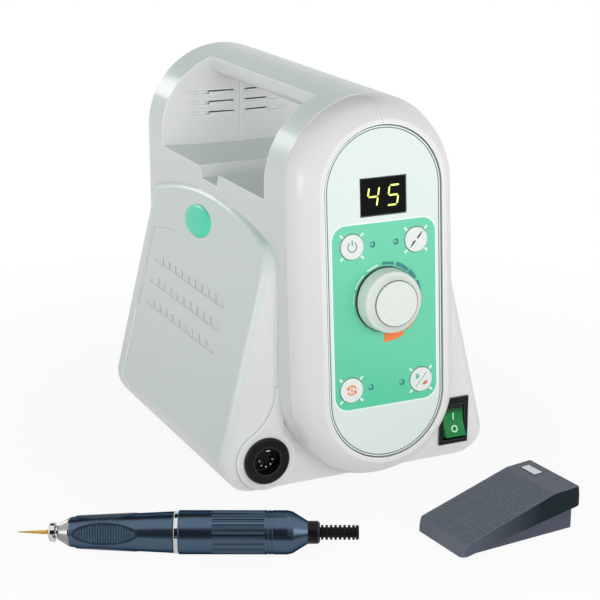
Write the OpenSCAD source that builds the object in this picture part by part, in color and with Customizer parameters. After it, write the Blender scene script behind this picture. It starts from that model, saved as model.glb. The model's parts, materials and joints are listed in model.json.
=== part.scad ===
// Bench micromotor set: a control console with a carrying handle, a handpiece and a foot switch.
// Millimetres. +Z is up and the front faces -Y. The origin is on the table, below the middle of
// the console's base. The handpiece and the foot switch lie on the table in front of the console.

/* [Console casing] */
// Height of the casing's top above the table
body_h = 222; // [218:1:232]
// Width of the upper casing: handle tunnel and front column
col_w = 99; // [96:1:104]
// Lowest point of the front column above the table
col_z0 = 10; // [8:1:13]
// Widest width of the base
base_w = 166; // [160:1:172]
// Length of the base, from its front wall to its rear wall
base_l = 194; // [190:1:204]
// Height of the base's underside above the table
base_z = 3; // [2:0.5:4.5]
// Height at which the slanted flanks would reach the widest width
belly_z = 22; // [20:1:26]
// Corner radius between the flanks and the underside
belly_r = 18; // [14:1:19]
// Height of the flare's arched top edge at its crown
arch_z = 154; // [150:1:156]
// Radius of the flare's arched top edge
arch_r = 280; // [250:5:320]
// Corner radius between the arched top edge and the flare's front edge
arch_corner = 20; // [15:1:26]
// Rounding of the flare's arched top edges and front edges
edge_r = 7; // [6:0.5:9]
// Corner radius of the flare's rear edges
rear_r = 26; // [20:1:30]
// Thickness of the casing's walls
wall = 2.5; // [2:0.25:3]
// Thickness of the ledge that the flanks leave beside the tunnel at the crown of the arch
ledge = 1; // [0.6:0.2:2]

/* [Front column] */
// Lean of the front panel from upright, in degrees
lean = 3.8; // [2:0.2:5]
// Reach of the column's crease in front of the base wall, at mid height
col_reach = 12; // [11:0.5:15]
// Depth of the rounded bezel, from its crease to its front ring
bezel_depth = 19.6; // [18.6:0.2:22]
// Inset of the bezel, from its crease to its front ring
bezel_inset = 11.7; // [10.7:0.1:12.5]
// Rise of the bezel's curve above its chord
bezel_bulge = 2; // [1.4:0.2:2.6]
// Width of the flat front ring round the panel
ring_w = 3.2; // [2.4:0.2:4]
// Width of the groove round the panel
panel_gap = 0.5; // [0.3:0.1:0.8]
// Depth of the panel's face below the front ring
panel_recess = 1; // [0.6:0.2:1.6]

/* [Hand hole] */
// Length of the hand hole
hole_l = 155; // [146:1:158]
// Length of the post behind the hand hole
rear_post = 22; // [20:1:26]
// Height of the hand hole's floor above the table
hole_floor = 164; // [160:1:168]
// Thickness of the handle bar at its crown
handle_t = 14; // [12:1:17]
// Width of the handle bar
handle_w = 37; // [34:1:42]
// Rounding of the handle bar's lower edges
bar_round = 6; // [4:0.5:7]
// Bulge of the hand hole's rear wall at its middle
rear_bulge = 7; // [5:0.5:9]
// Width of the handpiece rest, at its bottom
rest_w = 24; // [22:1:26]
// Depth of the handpiece rest below the floor
rest_d = 7; // [5:0.5:8]
// Distance of the rest's middle behind the origin
rest_y = -1; // [-8:1:8]

/* [Vents] */
// Height of each vent slot in the hand hole's rear wall
vent_h = 2.2; // [1.8:0.2:3]
// Length of each vent slot
vent_l = 34; // [24:1:35]
// Spacing of the vent slots
vent_pitch = 6.5; // [5.5:0.5:7]
// Length of each louvre row in the flanks
louvre_l = 112; // [90:1:116]
// Height of each louvre row
louvre_h = 7; // [5:0.5:8]
// Depth of a louvre row at its lower edge
louvre_d = 1.2; // [0.8:0.1:1.4]
// Spacing of the louvre rows along the flank
louvre_pitch = 13.6; // [12:0.2:15]

/* [Front panel] */
// Thickness of the moulded panel
panel_t = 2.2; // [2:0.1:2.6]
// Thickness of the printed overlay sheet
overlay_t = 0.4; // [0.3:0.05:0.6]
// Width of the display window
window_w = 27.5; // [26:0.5:30]
// Height of the display window
window_h = 20.5; // [19.5:0.5:23]
// Height of the window's middle above the panel's middle
window_y = 53.5; // [52:0.5:58]
// Diameter of the round keys
key_d = 13.5; // [12:0.5:14.5]
// Travel of the round keys
key_travel = 0.4; // [0.3:0.05:0.6]
// Spacing of the two upper keys
key_span = 38.5; // [37:0.5:42]
// Spacing of the two lower keys
key_span_low = 42.5; // [40:0.5:44]
// Height of the upper keys above the panel's middle
key_top = 28; // [26.5:0.5:31]
// Height of the lower keys below the panel's middle
key_low = 50.5; // [46:0.5:53]
// Diameter of the speed knob
knob_d = 35; // [32:0.5:38]
// Height of the speed knob
knob_h = 13.5; // [12:0.5:16]
// Depth of the space between the panel's back and its circuit board
board_gap = 9; // [8.6:0.2:9.8]

/* [Sockets and switch] */
// Distance of the handpiece socket and the power switch from the middle plane
port_x = 57.5; // [56.5:0.5:59]
// Height of the handpiece socket's axis
port_z = 20.5; // [20:0.5:22]
// Diameter of the handpiece socket's flange
port_flange_d = 27; // [25:0.5:28]
// Diameter of the handpiece socket's plug recess
port_bore_d = 16; // [14:0.5:16.5]
// Depth of the plug recess
port_depth = 9; // [8:0.5:11]
// Width of the power switch
switch_w = 17.5; // [16:0.5:19]
// Height of the power switch
switch_h = 27; // [25:0.5:28.5]
// Distance of the power switch from the middle plane
switch_x = 62.5; // [61.5:0.5:63.5]
// Height of the power switch's middle
switch_z = 24; // [23:0.5:26]
// Tilt of the power rocker to each side, in degrees
rocker_tilt = 9; // [7:1:10]
// Bore of the foot switch jack
jack_bore_d = 6.5; // [6:0.1:7]

/* [Handpiece] */
// Diameter of the motor housing
motor_d = 22.6; // [22:0.1:25]
// Length of the motor housing
motor_l = 58.8; // [57:0.2:63]
// Length of the tapered front sleeve
sleeve_l = 53.6; // [52:0.2:56]
// Diameter of the front sleeve at its nose
sleeve_nose_d = 14.9; // [14.6:0.1:16]
// Diameter of the front sleeve at the ring
sleeve_d = 21.4; // [20.8:0.1:21.8]
// Diameter of the tool's shank
shank_d = 2.35; // [2.35, 3]
// Distance of the handpiece's ring from the middle plane, to the left
handpiece_x = 130; // [128:1:140]
// Distance of the handpiece's ring in front of the origin
handpiece_y = 145.5; // [144:1:155]
// Turn of the handpiece from the console's width, in degrees
handpiece_turn = 25.4; // [22:0.2:28]

/* [Foot switch] */
// Length of the treadle
pedal_l = 77; // [75:1:86]
// Width of the treadle
pedal_w = 41.5; // [40:0.5:48]
// Height of the treadle's top at its high end
pedal_h = 25; // [24.5:0.5:28]
// Height of the treadle's top at its low end
pedal_low = 8.5; // [8:0.5:10]
// Wall of the treadle and of its base
pedal_wall = 1.8; // [1.5:0.1:2.2]
// Travel of the treadle, in degrees
pedal_travel = 5; // [3:0.5:5.5]
// Place of the low end's middle to the right of the middle plane
pedal_x = -3; // [-6:1:8]
// Place of the low end's middle in front of the origin
pedal_y = 197; // [195:1:205]
// Turn of the foot switch from the console's width, in degrees
pedal_turn = 5.4; // [0:0.2:10]

/* [Fits] */
// Clearance between pieces that are fixed to each other
fit = 0.15; // [0.1:0.05:0.25]
// Radial clearance of shafts and pins that turn
run = 0.05; // [0.03:0.01:0.08]
// Width of the seam between the casing's halves
seam = 0.2; // [0.1:0.05:0.4]
// Clearance between pieces that move past each other
gap = 0.4; // [0.35:0.05:0.6]

/* [Hidden] */
$fn = 64;
over = 0.5;
far = 300;
col_r = col_w / 2;
col_mid = (body_h + col_z0) / 2;
col_straight = body_h - col_z0 - col_w;
half_l = base_l / 2;
tail = 1;
rear_y = half_l + tail;
flank_tilt = atan((base_w / 2 - col_r - ledge) / (arch_z - belly_z));
belly_poke = 0.3;
corner_poke = 0.1;
arch_y = -6;
wall_in = wall;
// Bezel and panel, in the column's leaning frame
crease_step = 0.15;
ring_r = col_r - bezel_inset;
panel_r = ring_r - ring_w;
panel_seat = 3;
panel_face = bezel_depth - panel_recess;
panel_front = panel_face - overlay_t;
panel_back = panel_front - panel_t;
board_t = 1.6;
board_face = panel_back - board_gap;
board_w = 2 * (panel_r - panel_seat) - 6;
board_l = col_straight + 40;
// Hand hole
hole_y1 = half_l - rear_post;
hole_y0 = hole_y1 - hole_l;
hole_top = body_h - handle_t;
bulge_r = (pow(col_r, 2) + pow(rear_bulge, 2)) / (2 * rear_bulge);
rest_slope = 3;
vent_top = 195;
vent_in = 3.5;
vent_d = 3.5;
// Flank panel with its louvre rows, measured along the flank from the belly
flank_step = 0.9;
flank_arch = 103;
flank_arch_r = 250;
flank_arch_y = 8;
flank_rear = half_l - 30;
louvre_top = 81;
slit_count = 9;
slit_w = 1.3;
slit_inset = 14;
// Badge on the left flank
badge_a = 19;
badge_b = 9.2;
badge_t = 2;
badge_sink = 1;
badge_up = 115;
// Screw bosses that join the halves: place along the length, and height
boss_at = [[-half_l + 13, 62], [-half_l + 27, 126], [half_l - 17, 20], [half_l - 14, 118]];
boss_d = 8;
screw_d = 3;
screw_head_d = 6;
screw_head_h = 2.6;
screw_l = 16;
boss_floor = 6;
// Feet
foot_d = 14;
foot_stem_d = 5;
foot_x = 57;
foot_y = half_l - 13;
// Socket pad
pad_t = 2;
pad_side = 24.5;
pad_rise = 41.5;
pad_r = port_flange_d / 2 + 4;
port_body_d = port_flange_d - 6;
port_body_l = port_depth + 8;
port_flange_t = 2;
port_bevel = 0.6;
pin_d = 1.5;
pin_ring = 4;
// Switch
switch_rim = 1.8;
switch_rim_t = 1.2;
switch_flange = 1.4;
switch_depth = 23;
switch_well = 12;
rocker_axis = 5;
rocker_horn = 3.4;
rocker_dip = 3;
rocker_pin_d = 2.5;
// Rear sockets
inlet_x = -24;
inlet_z = 48;
inlet_w = 27;
inlet_h = 20;
inlet_flange = 3;
inlet_depth = 22;
jack_x = 24;
jack_z = 40;
jack_d = 11;
jack_l = 16;
// Inside the console
core_w = 60;
core_l = 50;
core_h = 54;
core_y = 32;
coil_w = 44;
main_board_z = base_z + wall + 8;
main_board_w = 96;
main_board_l = 60;
main_board_y = -44;
sink_w = 50;
sink_h = 34;
sink_t = 3;
sink_back = 22;
sink_fins = 8;
sink_fin_t = 2;
sink_fin_l = 12;
can_d = 16;
can_h = 27;
can_pitch = 24;
can_back = 14;
post_d = 7;
post_in = 6;
// Keys, lamps and knob
lamp_d = 3;
lamp_top_x = 7;
lamp_low_x = 9.5;
key_rim_d = key_d + 2;
key_proud = 0.5;
key_stem_d = 5;
tact_h = 3.5;
tact_w = 6;
tact_tip = 0.6;
tact_tip_d = 3.2;
knob_y = -2.5;
knob_crown = 3.4;
knob_edge = 1.2;
knob_taper = 0.7;
knob_seat = 1.2;
cap_d = knob_d - 10.4;
cap_proud = 0.3;
cap_lip = 0.9;
dimple_d = 3.4;
dimple_in = 2.8;
dimple_a = 248;
pot_d = 17;
pot_shaft_d = 6;
pot_bush_d = 8;
pot_bush_h = 3;
// Handpiece, measured along its axis from the front face of its ring
motor_r = motor_d / 2;
ring_l = 2.2;
motor_z0 = ring_l;
motor_z1 = ring_l + motor_l;
motor_wall = 1.6;
flutes = 22;
flute_z = 17.4;
flute_l = 26.8;
flute_r = 0.9;
flute_d = 0.55;
band_z = [45.6, 47.6];
band_w = 0.7;
band_d = 0.3;
cap_l = 7.3;
cap_r = 6;
cap_spigot = 15;
collar_d = 11.8;
collar_l = 6.4;
boot_d = 7.6;
boot_l = 20;
boot_ribs = 9;
cord_d = 4;
spindle_d = 5;
spindle_z0 = -sleeve_l - 6;
tube_d = 12.6;
tube_bore_d = 11;
bearing_w = 4;
rear_bearing_d = 13;
rotor_d = 9;
rotor_l = 24;
rotor_z = 15;
cone_l = 6;
cone_d = 8;
cone_band = 0.8;
nut_d = 10.2;
nut_l = 4.4;
nut_edge = 0.8;
nut_waist = 1.2;
nut_notch_d = 1.8;
tool_l = 17;
tool_d = 2.1;
pad_a = 16.6;
pad_b = 5.4;
pad_mid = -sleeve_l + 18.5;
pad_deep = 0.7;
pad_high = 0.12;
nose_swell = 0.9;
nose_l = 6.5;
// Foot switch, in its own frame: low end at 0, along the length
pin_a = 7.5;
pin_z = 4.2;
pedal_pin_d = 3;
skirt_low = 1;
skirt_high = 14;
skirt_side = 1.7;
crest = 0.76;
crest_drop = 0.8;
end_lean = 2.5;
lip_r = 2.5;
lip_turn = 110;
low_lean = 2;
tread_r = 3.5;
tread_ribs = 29;
tread_rib = 0.8;
tread_margin = 1.2;
base_gap = 0.6;
base_end = 5;
pad_h = 1;
spring_a = 52;
switch_a = 35;
spring_d = 9;
spring_wire = 1;
spring_turns = 5;
gland_d = 5;
gland_z = (skirt_high - 1) / 2 + pad_h;
foot_cord_d = 3.4;

// Frames
module on_column() {
    translate([0, -half_l - col_reach, col_mid]) rotate([90 - lean, 0, 0]) children();
}
module on_flank(side) {
    mirror([side > 0 ? 0 : 1, 0, 0])
        translate([base_w / 2, 0, belly_z]) rotate([0, -flank_tilt, 0]) children();
}
module on_handpiece() {
    translate([-handpiece_x, -handpiece_y, motor_r]) rotate([0, 0, -handpiece_turn])
        rotate([0, 90, 0]) children();
}
module on_pedal() {
    translate([pedal_x, -pedal_y, 0]) rotate([0, 0, pedal_turn]) children();
}

// Outlines and swept solids that repeat
module stadium(r, straight) {
    square([2 * r, straight], center = true);
    for (s = [-1, 1]) translate([0, s * straight / 2]) circle(r);
}
// Sweeps a half profile round a stadium
module round_stadium(straight) {
    for (s = [0, 1])
        rotate([0, 0, 180 * s]) translate([0, straight / 2, 0]) rotate_extrude(angle = 180) children();
    rotate([90, 0, 0]) linear_extrude(height = straight, center = true) {
        children();
        mirror([1, 0]) children();
    }
}
function ellipse(a, b, n = 48) = [for (i = [0 : n - 1]) [a * cos(360 * i / n), b * sin(360 * i / n)]];
module tube(d, bore, h) {
    difference() {
        cylinder(d = d, h = h);
        translate([0, 0, -over]) cylinder(d = bore, h = h + 2 * over);
    }
}
// Slab whose profile is drawn from the side, in length and height, across a width
module from_side(width) {
    rotate([90, 0, 90]) translate([0, 0, -width / 2]) linear_extrude(height = width) children();
}

// Casing: the tunnel with its column, the flare and the bezel, all set in by w for the inside
module tunnel(w) {
    difference() {
        translate([0, rear_y - w, col_mid]) rotate([90, 0, 0])
            linear_extrude(height = base_l + far) stadium(col_r - w, col_straight);
        on_column() translate([-far, -far, -w]) cube([2 * far, 2 * far, 2 * far]);
    }
}
module flank_plan(w) {
    yb = half_l - w;
    rf = edge_r - w;
    rr = rear_r - w;
    translate([-far, -yb + rf]) square([far - w, 2 * yb - rf - rr]);
    translate([-far, -yb]) square([far - w - rf, yb]);
    translate([-far, 0]) square([far - w - rr, yb]);
    translate([-w - rf, -yb + rf]) circle(rf);
    translate([-w - rr, yb - rr]) circle(rr);
}
module belly(w) {
    zc = base_z + belly_r;
    xc = base_w / 2 + ((belly_z - zc) * sin(flank_tilt) - belly_r + belly_poke) / cos(flank_tilt);
    reach = [far * cos(flank_tilt), far * sin(flank_tilt)];
    for (s = [0, 1]) mirror([s, 0]) {
        polygon([[-1, base_z + w], [xc, base_z + w], [xc, zc], [xc, zc] + reach, [-1, far]]);
        translate([xc, zc]) circle(belly_r - w);
    }
}
// Disc that lies in the flank's plane, with a rounded rim
module flank_disc(r, w) {
    edge = edge_r - w;
    rotate([0, 90, 0]) rotate_extrude($fn = 200) {
        translate([0, -far]) square([r - edge, far - w]);
        translate([0, -far]) square([r, far - w - edge]);
        translate([r - edge, -w - edge]) circle(edge, $fn = 48);
    }
}
// Middles of the arch and of its front corner, along the length and up the flank
function arch_mid() = [arch_y, (arch_z - belly_z) / cos(flank_tilt) - arch_r];
function corner_mid() = let (y = arch_corner - half_l)
    [y, arch_mid()[1] + sqrt(pow(arch_r - arch_corner, 2) - pow(y - arch_y, 2))];
// Middle of the belly's rounding, up the flank
function belly_mid() =
    (base_z + belly_r - belly_z + (belly_r - belly_poke) * sin(flank_tilt)) / cos(flank_tilt);
// Rear end of the belly, turned round the axis of the rear corner
module rear_end(w) {
    r = belly_r - w + corner_poke;
    mid = [rear_r - belly_r + belly_poke, belly_mid()];
    translate([-rear_r, half_l - rear_r, 0]) rotate_extrude() {
        translate([0, mid[1]]) square([rear_r - w + belly_poke, far]);
        translate([0, mid[1] - r]) square([mid[0], r + over]);
        intersection() {
            translate(mid) circle(r);
            translate([0, -far]) square([rear_r - w + belly_poke, 2 * far]);
        }
    }
}
// Limits of the flare where the arch turns into the front edge, and where the belly turns the rear corner
module flank_ends(w) {
    c = corner_mid();
    out = (c - arch_mid()) / (arch_r - arch_corner);
    difference() {
        cube(4 * far, center = true);
        rotate([90, 0, 90]) linear_extrude(height = 5 * far, center = true)
            polygon([c, c - [far, 0], c + far * (out - [1, 0]), c + far * out]);
        translate([-rear_r, half_l - rear_r, -3 * far]) cube(6 * far);
    }
    translate([0, c[0], c[1]]) flank_disc(arch_corner - 3 * w + corner_poke, w);
    rear_end(w);
}
module flare(w, side) {
    intersection() {
        on_flank(side) linear_extrude(height = 2 * far, center = true) flank_plan(w);
        on_flank(side) translate([0, arch_mid()[0], arch_mid()[1]]) flank_disc(arch_r - w, w);
        on_flank(side) flank_ends(w);
        rotate([90, 0, 0]) linear_extrude(height = 2 * far, center = true) belly(w);
    }
}
module bezel_profile() {
    r = col_r - crease_step;
    chord = norm([bezel_inset, bezel_depth]);
    curve = chord * chord / (8 * bezel_bulge) + bezel_bulge / 2;
    middle = [r - bezel_inset / 2, bezel_depth / 2];
    inward = [-bezel_depth, -bezel_inset] / chord;
    intersection() {
        square([r, bezel_depth]);
        translate(middle + inward * (curve - bezel_bulge)) circle(curve, $fn = 128);
    }
    translate([0, -wall]) square([r, wall + over]);
}
module bezel() {
    on_column() round_stadium(col_straight) bezel_profile();
}
// Raised pad round the handpiece socket, drawn out to a point at the column by a hollow curve
module socket_pad() {
    port = [-port_x, port_z];
    waist_mid = port + [-pad_side, pad_rise];
    waist = norm(waist_mid - port) - pad_r + corner_poke;
    translate([0, -half_l + over, 0]) rotate([90, 0, 0]) linear_extrude(height = pad_t + over) {
        translate(port) circle(pad_r);
        difference() {
            polygon([[-col_r + wall, base_z + 4], port - [0, pad_r], port, waist_mid,
                [-col_r + wall, waist_mid[1]]]);
            translate(waist_mid) circle(waist);
        }
    }
}
module outside(side) {
    tunnel(0);
    flare(0, side);
    bezel();
    if (side < 0) socket_pad();
}
module bar_section(g) {
    half_w = handle_w / 2 - g;
    edge = bar_round - g;
    low = hole_top + g;
    translate([-half_w, low + edge]) square([2 * half_w, far]);
    translate([-half_w + edge, low]) square([2 * (half_w - edge), far]);
    for (s = [-1, 1]) translate([s * (half_w - edge), low + edge]) circle(edge);
}
module hand_hole(g) {
    y1 = hole_y1 + g;
    rest_top = rest_w / 2 + rest_slope;
    difference() {
        union() {
            translate([0, y1, 0]) rotate([90, 0, 0]) linear_extrude(height = hole_l + 2 * g) difference() {
                translate([-far, hole_floor - g]) square([2 * far, far]);
                bar_section(g);
            }
            from_side(2 * far) translate([rest_y, hole_floor])
                polygon([[-rest_w / 2 - g, -rest_d - g], [rest_w / 2 + g, -rest_d - g],
                    [rest_top + g, over], [-rest_top - g, over]]);
        }
        translate([0, hole_y1 - rear_bulge + bulge_r + g, 0])
            cylinder(r = bulge_r, h = 2 * far, $fn = 200);
    }
}
// Hollow of the casing: two steps behind the bezel, and everything but the hand hole's walls
module hollow(side) {
    difference() {
        union() {
            tunnel(wall);
            flare(wall, side);
            on_column() translate([0, 0, -2 * wall - over])
                linear_extrude(height = bezel_depth / 2 + 2 * wall) stadium(ring_r, col_straight);
        }
        hand_hole(wall);
        bosses();
        board_posts();
    }
}
module bosses() {
    for (p = boss_at) translate([-far, p[0], p[1]]) rotate([0, 90, 0]) cylinder(d = boss_d, h = 2 * far);
}
module board_posts() {
    for (x = [-1, 1], y = [-1, 1])
        translate([x * (main_board_w / 2 - post_in), main_board_y + y * (main_board_l / 2 - post_in), 0])
            cylinder(d = post_d, h = main_board_z);
}
module panel_opening() {
    on_column() {
        translate([0, 0, panel_back]) linear_extrude(height = bezel_depth)
            stadium(panel_r + panel_gap, col_straight);
        linear_extrude(height = bezel_depth) stadium(panel_r - panel_seat, col_straight);
    }
}
// The flank's lower panel steps in at the rear and fades out towards the front
module flank_relief(side) {
    fade = atan(flank_step / (flank_rear + half_l / 2));
    on_flank(side) translate([0, flank_rear, 0]) rotate([0, 0, fade]) translate([-flank_step, 0, 0])
        rotate([90, 0, 90]) linear_extrude(height = 10) intersection() {
            translate([-base_l, -belly_z + base_z + 4]) square([base_l, far]);
            translate([flank_arch_y - flank_rear, flank_arch - flank_arch_r]) circle(flank_arch_r, $fn = 200);
        }
}
module louvres(side) {
    on_flank(side) for (i = [0 : 2]) translate([-flank_step / 2, 0, louvre_top - i * louvre_pitch]) {
        rotate([90, 0, 0]) linear_extrude(height = louvre_l, center = true)
            polygon([[over, louvre_h / 2], [over, -louvre_h / 2], [-louvre_d, -louvre_h / 2]]);
        pitch = (louvre_l - 2 * slit_inset) / (slit_count - 1);
        for (k = [0 : slit_count - 1])
            translate([-wall - 1, (k - (slit_count - 1) / 2) * pitch - slit_w / 2, -louvre_h / 2 + 0.6])
                cube([wall + 2, slit_w, louvre_h * 0.62]);
    }
}
// Each vent slot has a flat floor: it goes through the curved wall at its inner end and runs out at the other
module vents(side) {
    mirror([side > 0 ? 0 : 1, 0, 0]) for (i = [0 : 2])
        translate([vent_in, hole_y1 - rear_bulge - wall, vent_top - i * vent_pitch])
            cube([vent_l, wall + vent_d, vent_h]);
}
module foot_holes(d) {
    for (x = [-1, 1], y = [-1, 1])
        translate([x * foot_x, y * foot_y, -over]) cylinder(d = d, h = base_z + wall + 2 * over);
}
// Everything on one side of the middle plane, from a distance on
module side_box(side, from) {
    mirror([side > 0 ? 0 : 1, 0, 0]) translate([from, -far, -far]) cube([far, 2 * far, 2 * far]);
}
module half(side) {
    intersection() {
        union() {
            side_box(side, seam / 2);
            intersection() {
                side_box(side, 0);
                bosses();
            }
        }
        difference() {
            outside(side);
            hollow(side);
            hand_hole(0);
            panel_opening();
            flank_relief(side);
            louvres(side);
            vents(side);
            foot_holes(foot_stem_d + 2 * fit);
            children();
        }
    }
}
module boss_bores(d, x0, x1) {
    for (p = boss_at) translate([x0, p[0], p[1]]) rotate([0, 90, 0]) cylinder(d = d, h = x1 - x0);
}
module shell_left() {
    color("gainsboro") half(-1) {
        boss_bores(screw_d, -screw_l, over);
        translate([-port_x, 0, port_z]) rotate([90, 0, 0])
            cylinder(d = port_body_d + 2 * fit, h = far);
        badge_place() translate([0, 0, -badge_sink - fit])
            linear_extrude(height = far / 10) polygon(ellipse(badge_a + fit, badge_b + fit));
        translate([inlet_x, rear_y, inlet_z])
            cube([inlet_w + 2 * fit, 6 * wall, inlet_h + 2 * fit], center = true);
    }
}
module shell_right() {
    color("gainsboro") half(1) {
        boss_bores(screw_d + 2 * fit, -over, far);
        boss_bores(screw_head_d + 1, boss_floor, far);
        translate([switch_x, -half_l, switch_z])
            cube([switch_w + 2 * fit, 6 * wall, switch_h + 2 * fit], center = true);
        translate([jack_x, rear_y - 3 * wall, jack_z]) rotate([-90, 0, 0])
            cylinder(d = jack_d + 2 * fit, h = 6 * wall);
    }
}
module rubber_feet() {
    color("#1c1c1e") for (x = [-1, 1], y = [-1, 1]) translate([x * foot_x, y * foot_y, 0]) {
        cylinder(d1 = foot_d - 1.5, d2 = foot_d, h = 1);
        translate([0, 0, 1]) cylinder(d = foot_d, h = base_z - 1);
        cylinder(d = foot_stem_d, h = base_z + wall);
        translate([0, 0, base_z + wall]) cylinder(d = foot_stem_d + 2, h = 1.2);
    }
}
module shell_screws() {
    color("silver") for (p = boss_at) translate([boss_floor, p[0], p[1]]) rotate([0, 90, 0])
        difference() {
            union() {
                translate([0, 0, -screw_l]) cylinder(d = screw_d, h = screw_l + over);
                cylinder(d = screw_head_d, h = screw_head_h);
            }
            translate([0, 0, screw_head_h - 1.2]) cylinder(d = 2.6, h = 3, $fn = 6);
        }
}
module badge_place() {
    on_flank(-1) translate([0, 2, badge_up]) rotate([90, 0, 90]) children();
}
module side_badge() {
    color("mediumaquamarine") badge_place() translate([0, 0, -badge_sink])
        linear_extrude(height = badge_t) polygon(ellipse(badge_a, badge_b));
}

// Front panel and what it carries
function key_places() = [[-key_span / 2, key_top], [key_span / 2, key_top],
    [-key_span_low / 2, -key_low], [key_span_low / 2, -key_low]];
function lamp_places() = [[-lamp_top_x, key_top], [lamp_top_x, key_top],
    [-lamp_low_x, -key_low], [lamp_low_x, -key_low]];
module panel_holes() {
    translate([0, window_y]) square([window_w, window_h] + 2 * [fit, fit], center = true);
    for (p = key_places()) translate(p) circle(d = key_d + 2 * gap);
    for (p = lamp_places()) translate(p) circle(d = lamp_d + 2 * fit);
    translate([0, knob_y]) circle(d = pot_bush_d + 2 * fit);
}
module panel_sheet(z, t) {
    on_column() translate([0, 0, z]) linear_extrude(height = t) difference() {
        stadium(panel_r, col_straight);
        panel_holes();
    }
}
module front_panel() {
    color("honeydew") {
        panel_sheet(panel_back, panel_t);
        on_column() for (x = [-1, 1], y = [-1, 1])
            translate([x * (board_w / 2 - 5), y * (board_l / 2 - 6), board_face])
                cylinder(d = 5, h = board_gap + over);
    }
}
module panel_overlay() {
    color("aquamarine") panel_sheet(panel_front, overlay_t);
}
module display_window() {
    color("black") on_column() translate([-window_w / 2, window_y - window_h / 2, panel_face - 1.6])
        cube([window_w, window_h, 1.6]);
}
module display_module() {
    high = panel_face - 1.6 - board_face;
    color("dimgray") on_column() translate([-window_w / 2 + 1, window_y - window_h / 2 + 1, board_face])
        cube([window_w - 2, window_h - 2, high]);
}
module panel_board() {
    color("darkgreen") on_column() translate([0, 0, board_face - board_t])
        linear_extrude(height = board_t) square([board_w, board_l], center = true);
}
module tact_switches() {
    color("dimgray") on_column() for (p = key_places()) translate([p[0], p[1], board_face]) {
        translate([0, 0, tact_h / 2]) cube([tact_w, tact_w, tact_h], center = true);
        cylinder(d = tact_tip_d, h = tact_h + tact_tip);
    }
}
module indicator_lamps() {
    color("lightsteelblue") on_column() for (p = lamp_places()) translate([p[0], p[1], board_face]) {
        cylinder(d = lamp_d, h = panel_face - board_face - lamp_d / 2);
        translate([0, 0, panel_face - board_face - lamp_d / 2]) sphere(d = lamp_d);
    }
}
module potentiometer() {
    high = board_gap - fit;
    color("slategray") on_column() translate([0, knob_y, board_face]) difference() {
        union() {
            cylinder(d = pot_d, h = high);
            cylinder(d = pot_bush_d, h = panel_face + pot_bush_h - board_face);
        }
        translate([0, 0, 2]) cylinder(d = pot_shaft_d + 2 * run, h = far);
    }
}
module pot_shaft() {
    color("silver") on_column() translate([0, knob_y, board_face + 2 + gap])
        cylinder(d = pot_shaft_d, h = panel_face + knob_h - 5 - board_face - 2 - gap);
}
module speed_knob() {
    high = knob_h - gap;
    rim = high - knob_crown;
    side = knob_d / 2 - knob_taper;
    color("ivory") on_column() translate([0, knob_y, panel_face + gap]) difference() {
        rotate_extrude() polygon([[0, 0], [knob_d / 2, 0], [side, rim - knob_edge],
            [side - knob_edge, rim], [cap_d / 2 + cap_lip, high - fit], [0, high - fit]]);
        translate([0, 0, high - knob_seat]) cylinder(d = cap_d + 2 * fit, h = 2 * knob_seat);
        translate([0, 0, -over]) cylinder(d = pot_shaft_d, h = knob_h - 5 - gap + over);
        translate([0, 0, -over]) cylinder(d = pot_bush_d + 2 * gap, h = pot_bush_h + over + gap);
    }
}
module knob_cap() {
    high = knob_seat + cap_proud;
    color("white") on_column() translate([0, knob_y, panel_face + knob_h - knob_seat]) difference() {
        cylinder(d = cap_d, h = high);
        rotate([0, 0, dimple_a]) translate([cap_d / 2 - dimple_in, 0, high - 0.6])
            cylinder(d = dimple_d, h = 2);
    }
}
module round_key(i) {
    stem = board_face + tact_h + tact_tip + key_travel + gap;
    rim = 1.2;
    color("white") on_column() translate([key_places()[i][0], key_places()[i][1], 0]) {
        translate([0, 0, panel_back - gap])
            cylinder(d = key_d, h = panel_face + key_proud - panel_back + gap);
        translate([0, 0, panel_back - gap - rim]) cylinder(d = key_rim_d, h = rim);
        translate([0, 0, stem]) cylinder(d = key_stem_d, h = panel_back - gap - rim - stem);
    }
}
module run_key() { round_key(0); }
module motor_key() { round_key(1); }
module direction_key() { round_key(2); }
module mode_key() { round_key(3); }

// Handpiece socket, on the raised pad of the left half
module on_port() {
    translate([-port_x, -half_l - pad_t, port_z]) rotate([90, 0, 0]) children();
}
module handpiece_socket() {
    color("#17191a") on_port() difference() {
        union() {
            cylinder(d = port_flange_d, h = port_flange_t - port_bevel);
            translate([0, 0, port_flange_t - port_bevel])
                cylinder(d1 = port_flange_d, d2 = port_flange_d - 2 * port_bevel, h = port_bevel);
            translate([0, 0, port_flange_t - port_body_l]) cylinder(d = port_body_d, h = port_body_l - 1);
        }
        translate([0, 0, port_flange_t - port_depth]) cylinder(d = port_bore_d, h = port_depth + over);
    }
}
module socket_insert() {
    color("#22262a") on_port() translate([0, 0, port_flange_t - port_depth]) difference() {
        cylinder(d = port_bore_d - 2 * fit, h = 1.5);
        for (a = pin_angles()) rotate([0, 0, a]) translate([pin_ring, 0, -over]) cylinder(d = pin_d, h = 4);
    }
}
function pin_angles() = [for (i = [-2 : 2]) 270 + 45 * i];
module socket_contacts() {
    color("gold") on_port() for (a = pin_angles()) rotate([0, 0, a])
        translate([pin_ring, 0, port_flange_t - port_depth]) {
            cylinder(d = pin_d, h = port_depth - 3);
            translate([0, 0, port_depth - 3]) sphere(d = pin_d);
        }
}

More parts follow.
